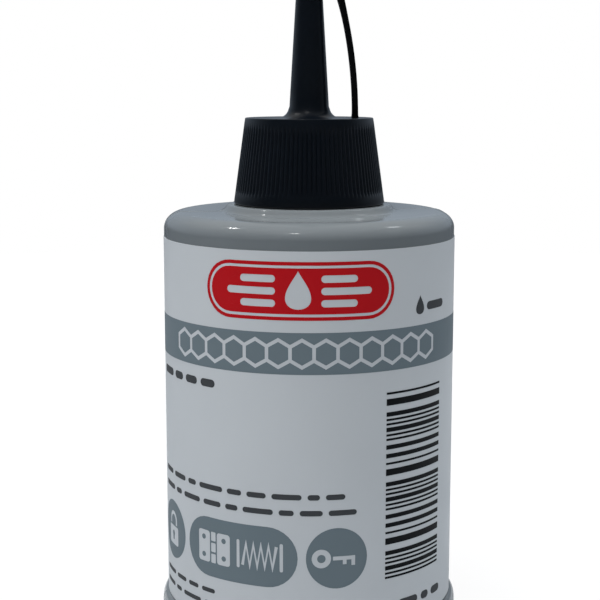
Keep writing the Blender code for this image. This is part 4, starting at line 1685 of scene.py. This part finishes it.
def make_studio(settings):
    """The floor, lamps, surroundings, camera and view settings."""
    shape = bmesh.new()
    bmesh.ops.create_circle(shape, cap_ends=True, segments=FLOOR_SEGMENTS, radius=settings.floor_radius)
    mesh = bpy.data.meshes.new("studio_floor")
    shape.to_mesh(mesh)
    shape.free()
    floor = bpy.data.objects.new("studio_floor", mesh)
    floor.location.z = -FLOOR_DROP
    bpy.context.scene.collection.objects.link(floor)
    mesh.materials.append(floor_material(settings))
    for name, lamp in LAMPS.items():
        add_lamp(name, *lamp)
    make_world(settings)
    data = bpy.data.cameras.new("photo_camera")
    data.sensor_width = CAMERA_SENSOR
    data.lens = CAMERA_LENS
    data.clip_start = CAMERA_CLIP_START
    camera = bpy.data.objects.new("photo_camera", data)
    camera.location = CAMERA_PLACE
    camera.rotation_euler = (math.pi / 2 - CAMERA_PITCH_DOWN, 0.0, 0.0)
    bpy.context.scene.collection.objects.link(camera)
    bpy.context.scene.camera = camera
    bpy.context.scene.view_settings.view_transform = "Standard"


# Operators and panel

class GREASEBOTTLE_OT_shell(bpy.types.Operator):
    """Build the blown bottle"""

    bl_idname = "grease_bottle.shell"
    bl_label = "Bottle Shell"

    def execute(self, context):
        make_shell(context.scene.bottle_shell)
        return {"FINISHED"}


class GREASEBOTTLE_OT_filling(bpy.types.Operator):
    """Build the paste in the bottle and the washer in its cap"""

    bl_idname = "grease_bottle.filling"
    bl_label = "Paste and Washer"

    def execute(self, context):
        make_filling(context.scene.bottle_filling)
        return {"FINISHED"}


class GREASEBOTTLE_OT_film(bpy.types.Operator):
    """Build the label's film"""

    bl_idname = "grease_bottle.film"
    bl_label = "Label Film"

    def execute(self, context):
        make_film(context.scene.bottle_label)
        return {"FINISHED"}


class GREASEBOTTLE_OT_prints(bpy.types.Operator):
    """Build what is printed on the label"""

    bl_idname = "grease_bottle.prints"
    bl_label = "Label Prints"

    def execute(self, context):
        make_prints(context.scene.bottle_label)
        return {"FINISHED"}


class GREASEBOTTLE_OT_nozzle(bpy.types.Operator):
    """Build the ribbed nozzle cap"""

    bl_idname = "grease_bottle.nozzle"
    bl_label = "Nozzle Cap"

    def execute(self, context):
        make_nozzle(context.scene.bottle_caps)
        return {"FINISHED"}


class GREASEBOTTLE_OT_tip(bpy.types.Operator):
    """Build the tip cap and its lug"""

    bl_idname = "grease_bottle.tip"
    bl_label = "Tip Cap"

    def execute(self, context):
        make_tip(context.scene.bottle_caps)
        return {"FINISHED"}


class GREASEBOTTLE_OT_strap(bpy.types.Operator):
    """Build the strap between the caps"""

    bl_idname = "grease_bottle.strap"
    bl_label = "Strap"

    def execute(self, context):
        make_strap(context.scene.bottle_strap)
        return {"FINISHED"}


class GREASEBOTTLE_OT_studio(bpy.types.Operator):
    """Build the floor, lamps, surroundings and camera"""

    bl_idname = "grease_bottle.studio"
    bl_label = "Studio"

    def execute(self, context):
        make_studio(context.scene.bottle_studio)
        return {"FINISHED"}


SETTINGS = {
    "bottle_shell": BottleShellSettings,
    "bottle_label": WrapLabelSettings,
    "bottle_caps": NozzleCapSettings,
    "bottle_strap": CapStrapSettings,
    "bottle_filling": FillingSettings,
    "bottle_studio": StudioSettings,
}
OPERATORS = (
    GREASEBOTTLE_OT_shell,
    GREASEBOTTLE_OT_filling,
    GREASEBOTTLE_OT_film,
    GREASEBOTTLE_OT_prints,
    GREASEBOTTLE_OT_nozzle,
    GREASEBOTTLE_OT_tip,
    GREASEBOTTLE_OT_strap,
    GREASEBOTTLE_OT_studio,
)


class GREASEBOTTLE_PT_pieces(bpy.types.Panel):
    """The settings and the steps that build the bottle's looks"""

    bl_idname = "GREASEBOTTLE_PT_pieces"
    bl_label = "Grease Bottle"
    bl_space_type = "VIEW_3D"
    bl_region_type = "UI"
    bl_category = "Grease Bottle"

    def draw(self, context):
        for name, kind in SETTINGS.items():
            box = self.layout.box()
            box.label(text=kind.__doc__)
            settings = getattr(context.scene, name)
            for setting in kind.__annotations__:
                box.prop(settings, setting)
        for operator in OPERATORS:
            self.layout.operator(operator.bl_idname)


def register():
    """Register the settings, operators and panel."""
    for name, kind in SETTINGS.items():
        bpy.utils.register_class(kind)
        setattr(bpy.types.Scene, name, PointerProperty(type=kind))
    for kind in (*OPERATORS, GREASEBOTTLE_PT_pieces):
        bpy.utils.register_class(kind)


def unregister():
    """Remove what register() added, last first."""
    for kind in (GREASEBOTTLE_PT_pieces, *reversed(OPERATORS)):
        bpy.utils.unregister_class(kind)
    for name, kind in reversed(SETTINGS.items()):
        delattr(bpy.types.Scene, name)
        bpy.utils.unregister_class(kind)


def main():
    register()
    bpy.ops.grease_bottle.shell()
    bpy.ops.grease_bottle.filling()
    bpy.ops.grease_bottle.film()
    bpy.ops.grease_bottle.prints()
    bpy.ops.grease_bottle.nozzle()
    bpy.ops.grease_bottle.tip()
    bpy.ops.grease_bottle.strap()
    bpy.ops.grease_bottle.studio()


if __name__ == "__main__":
    main()
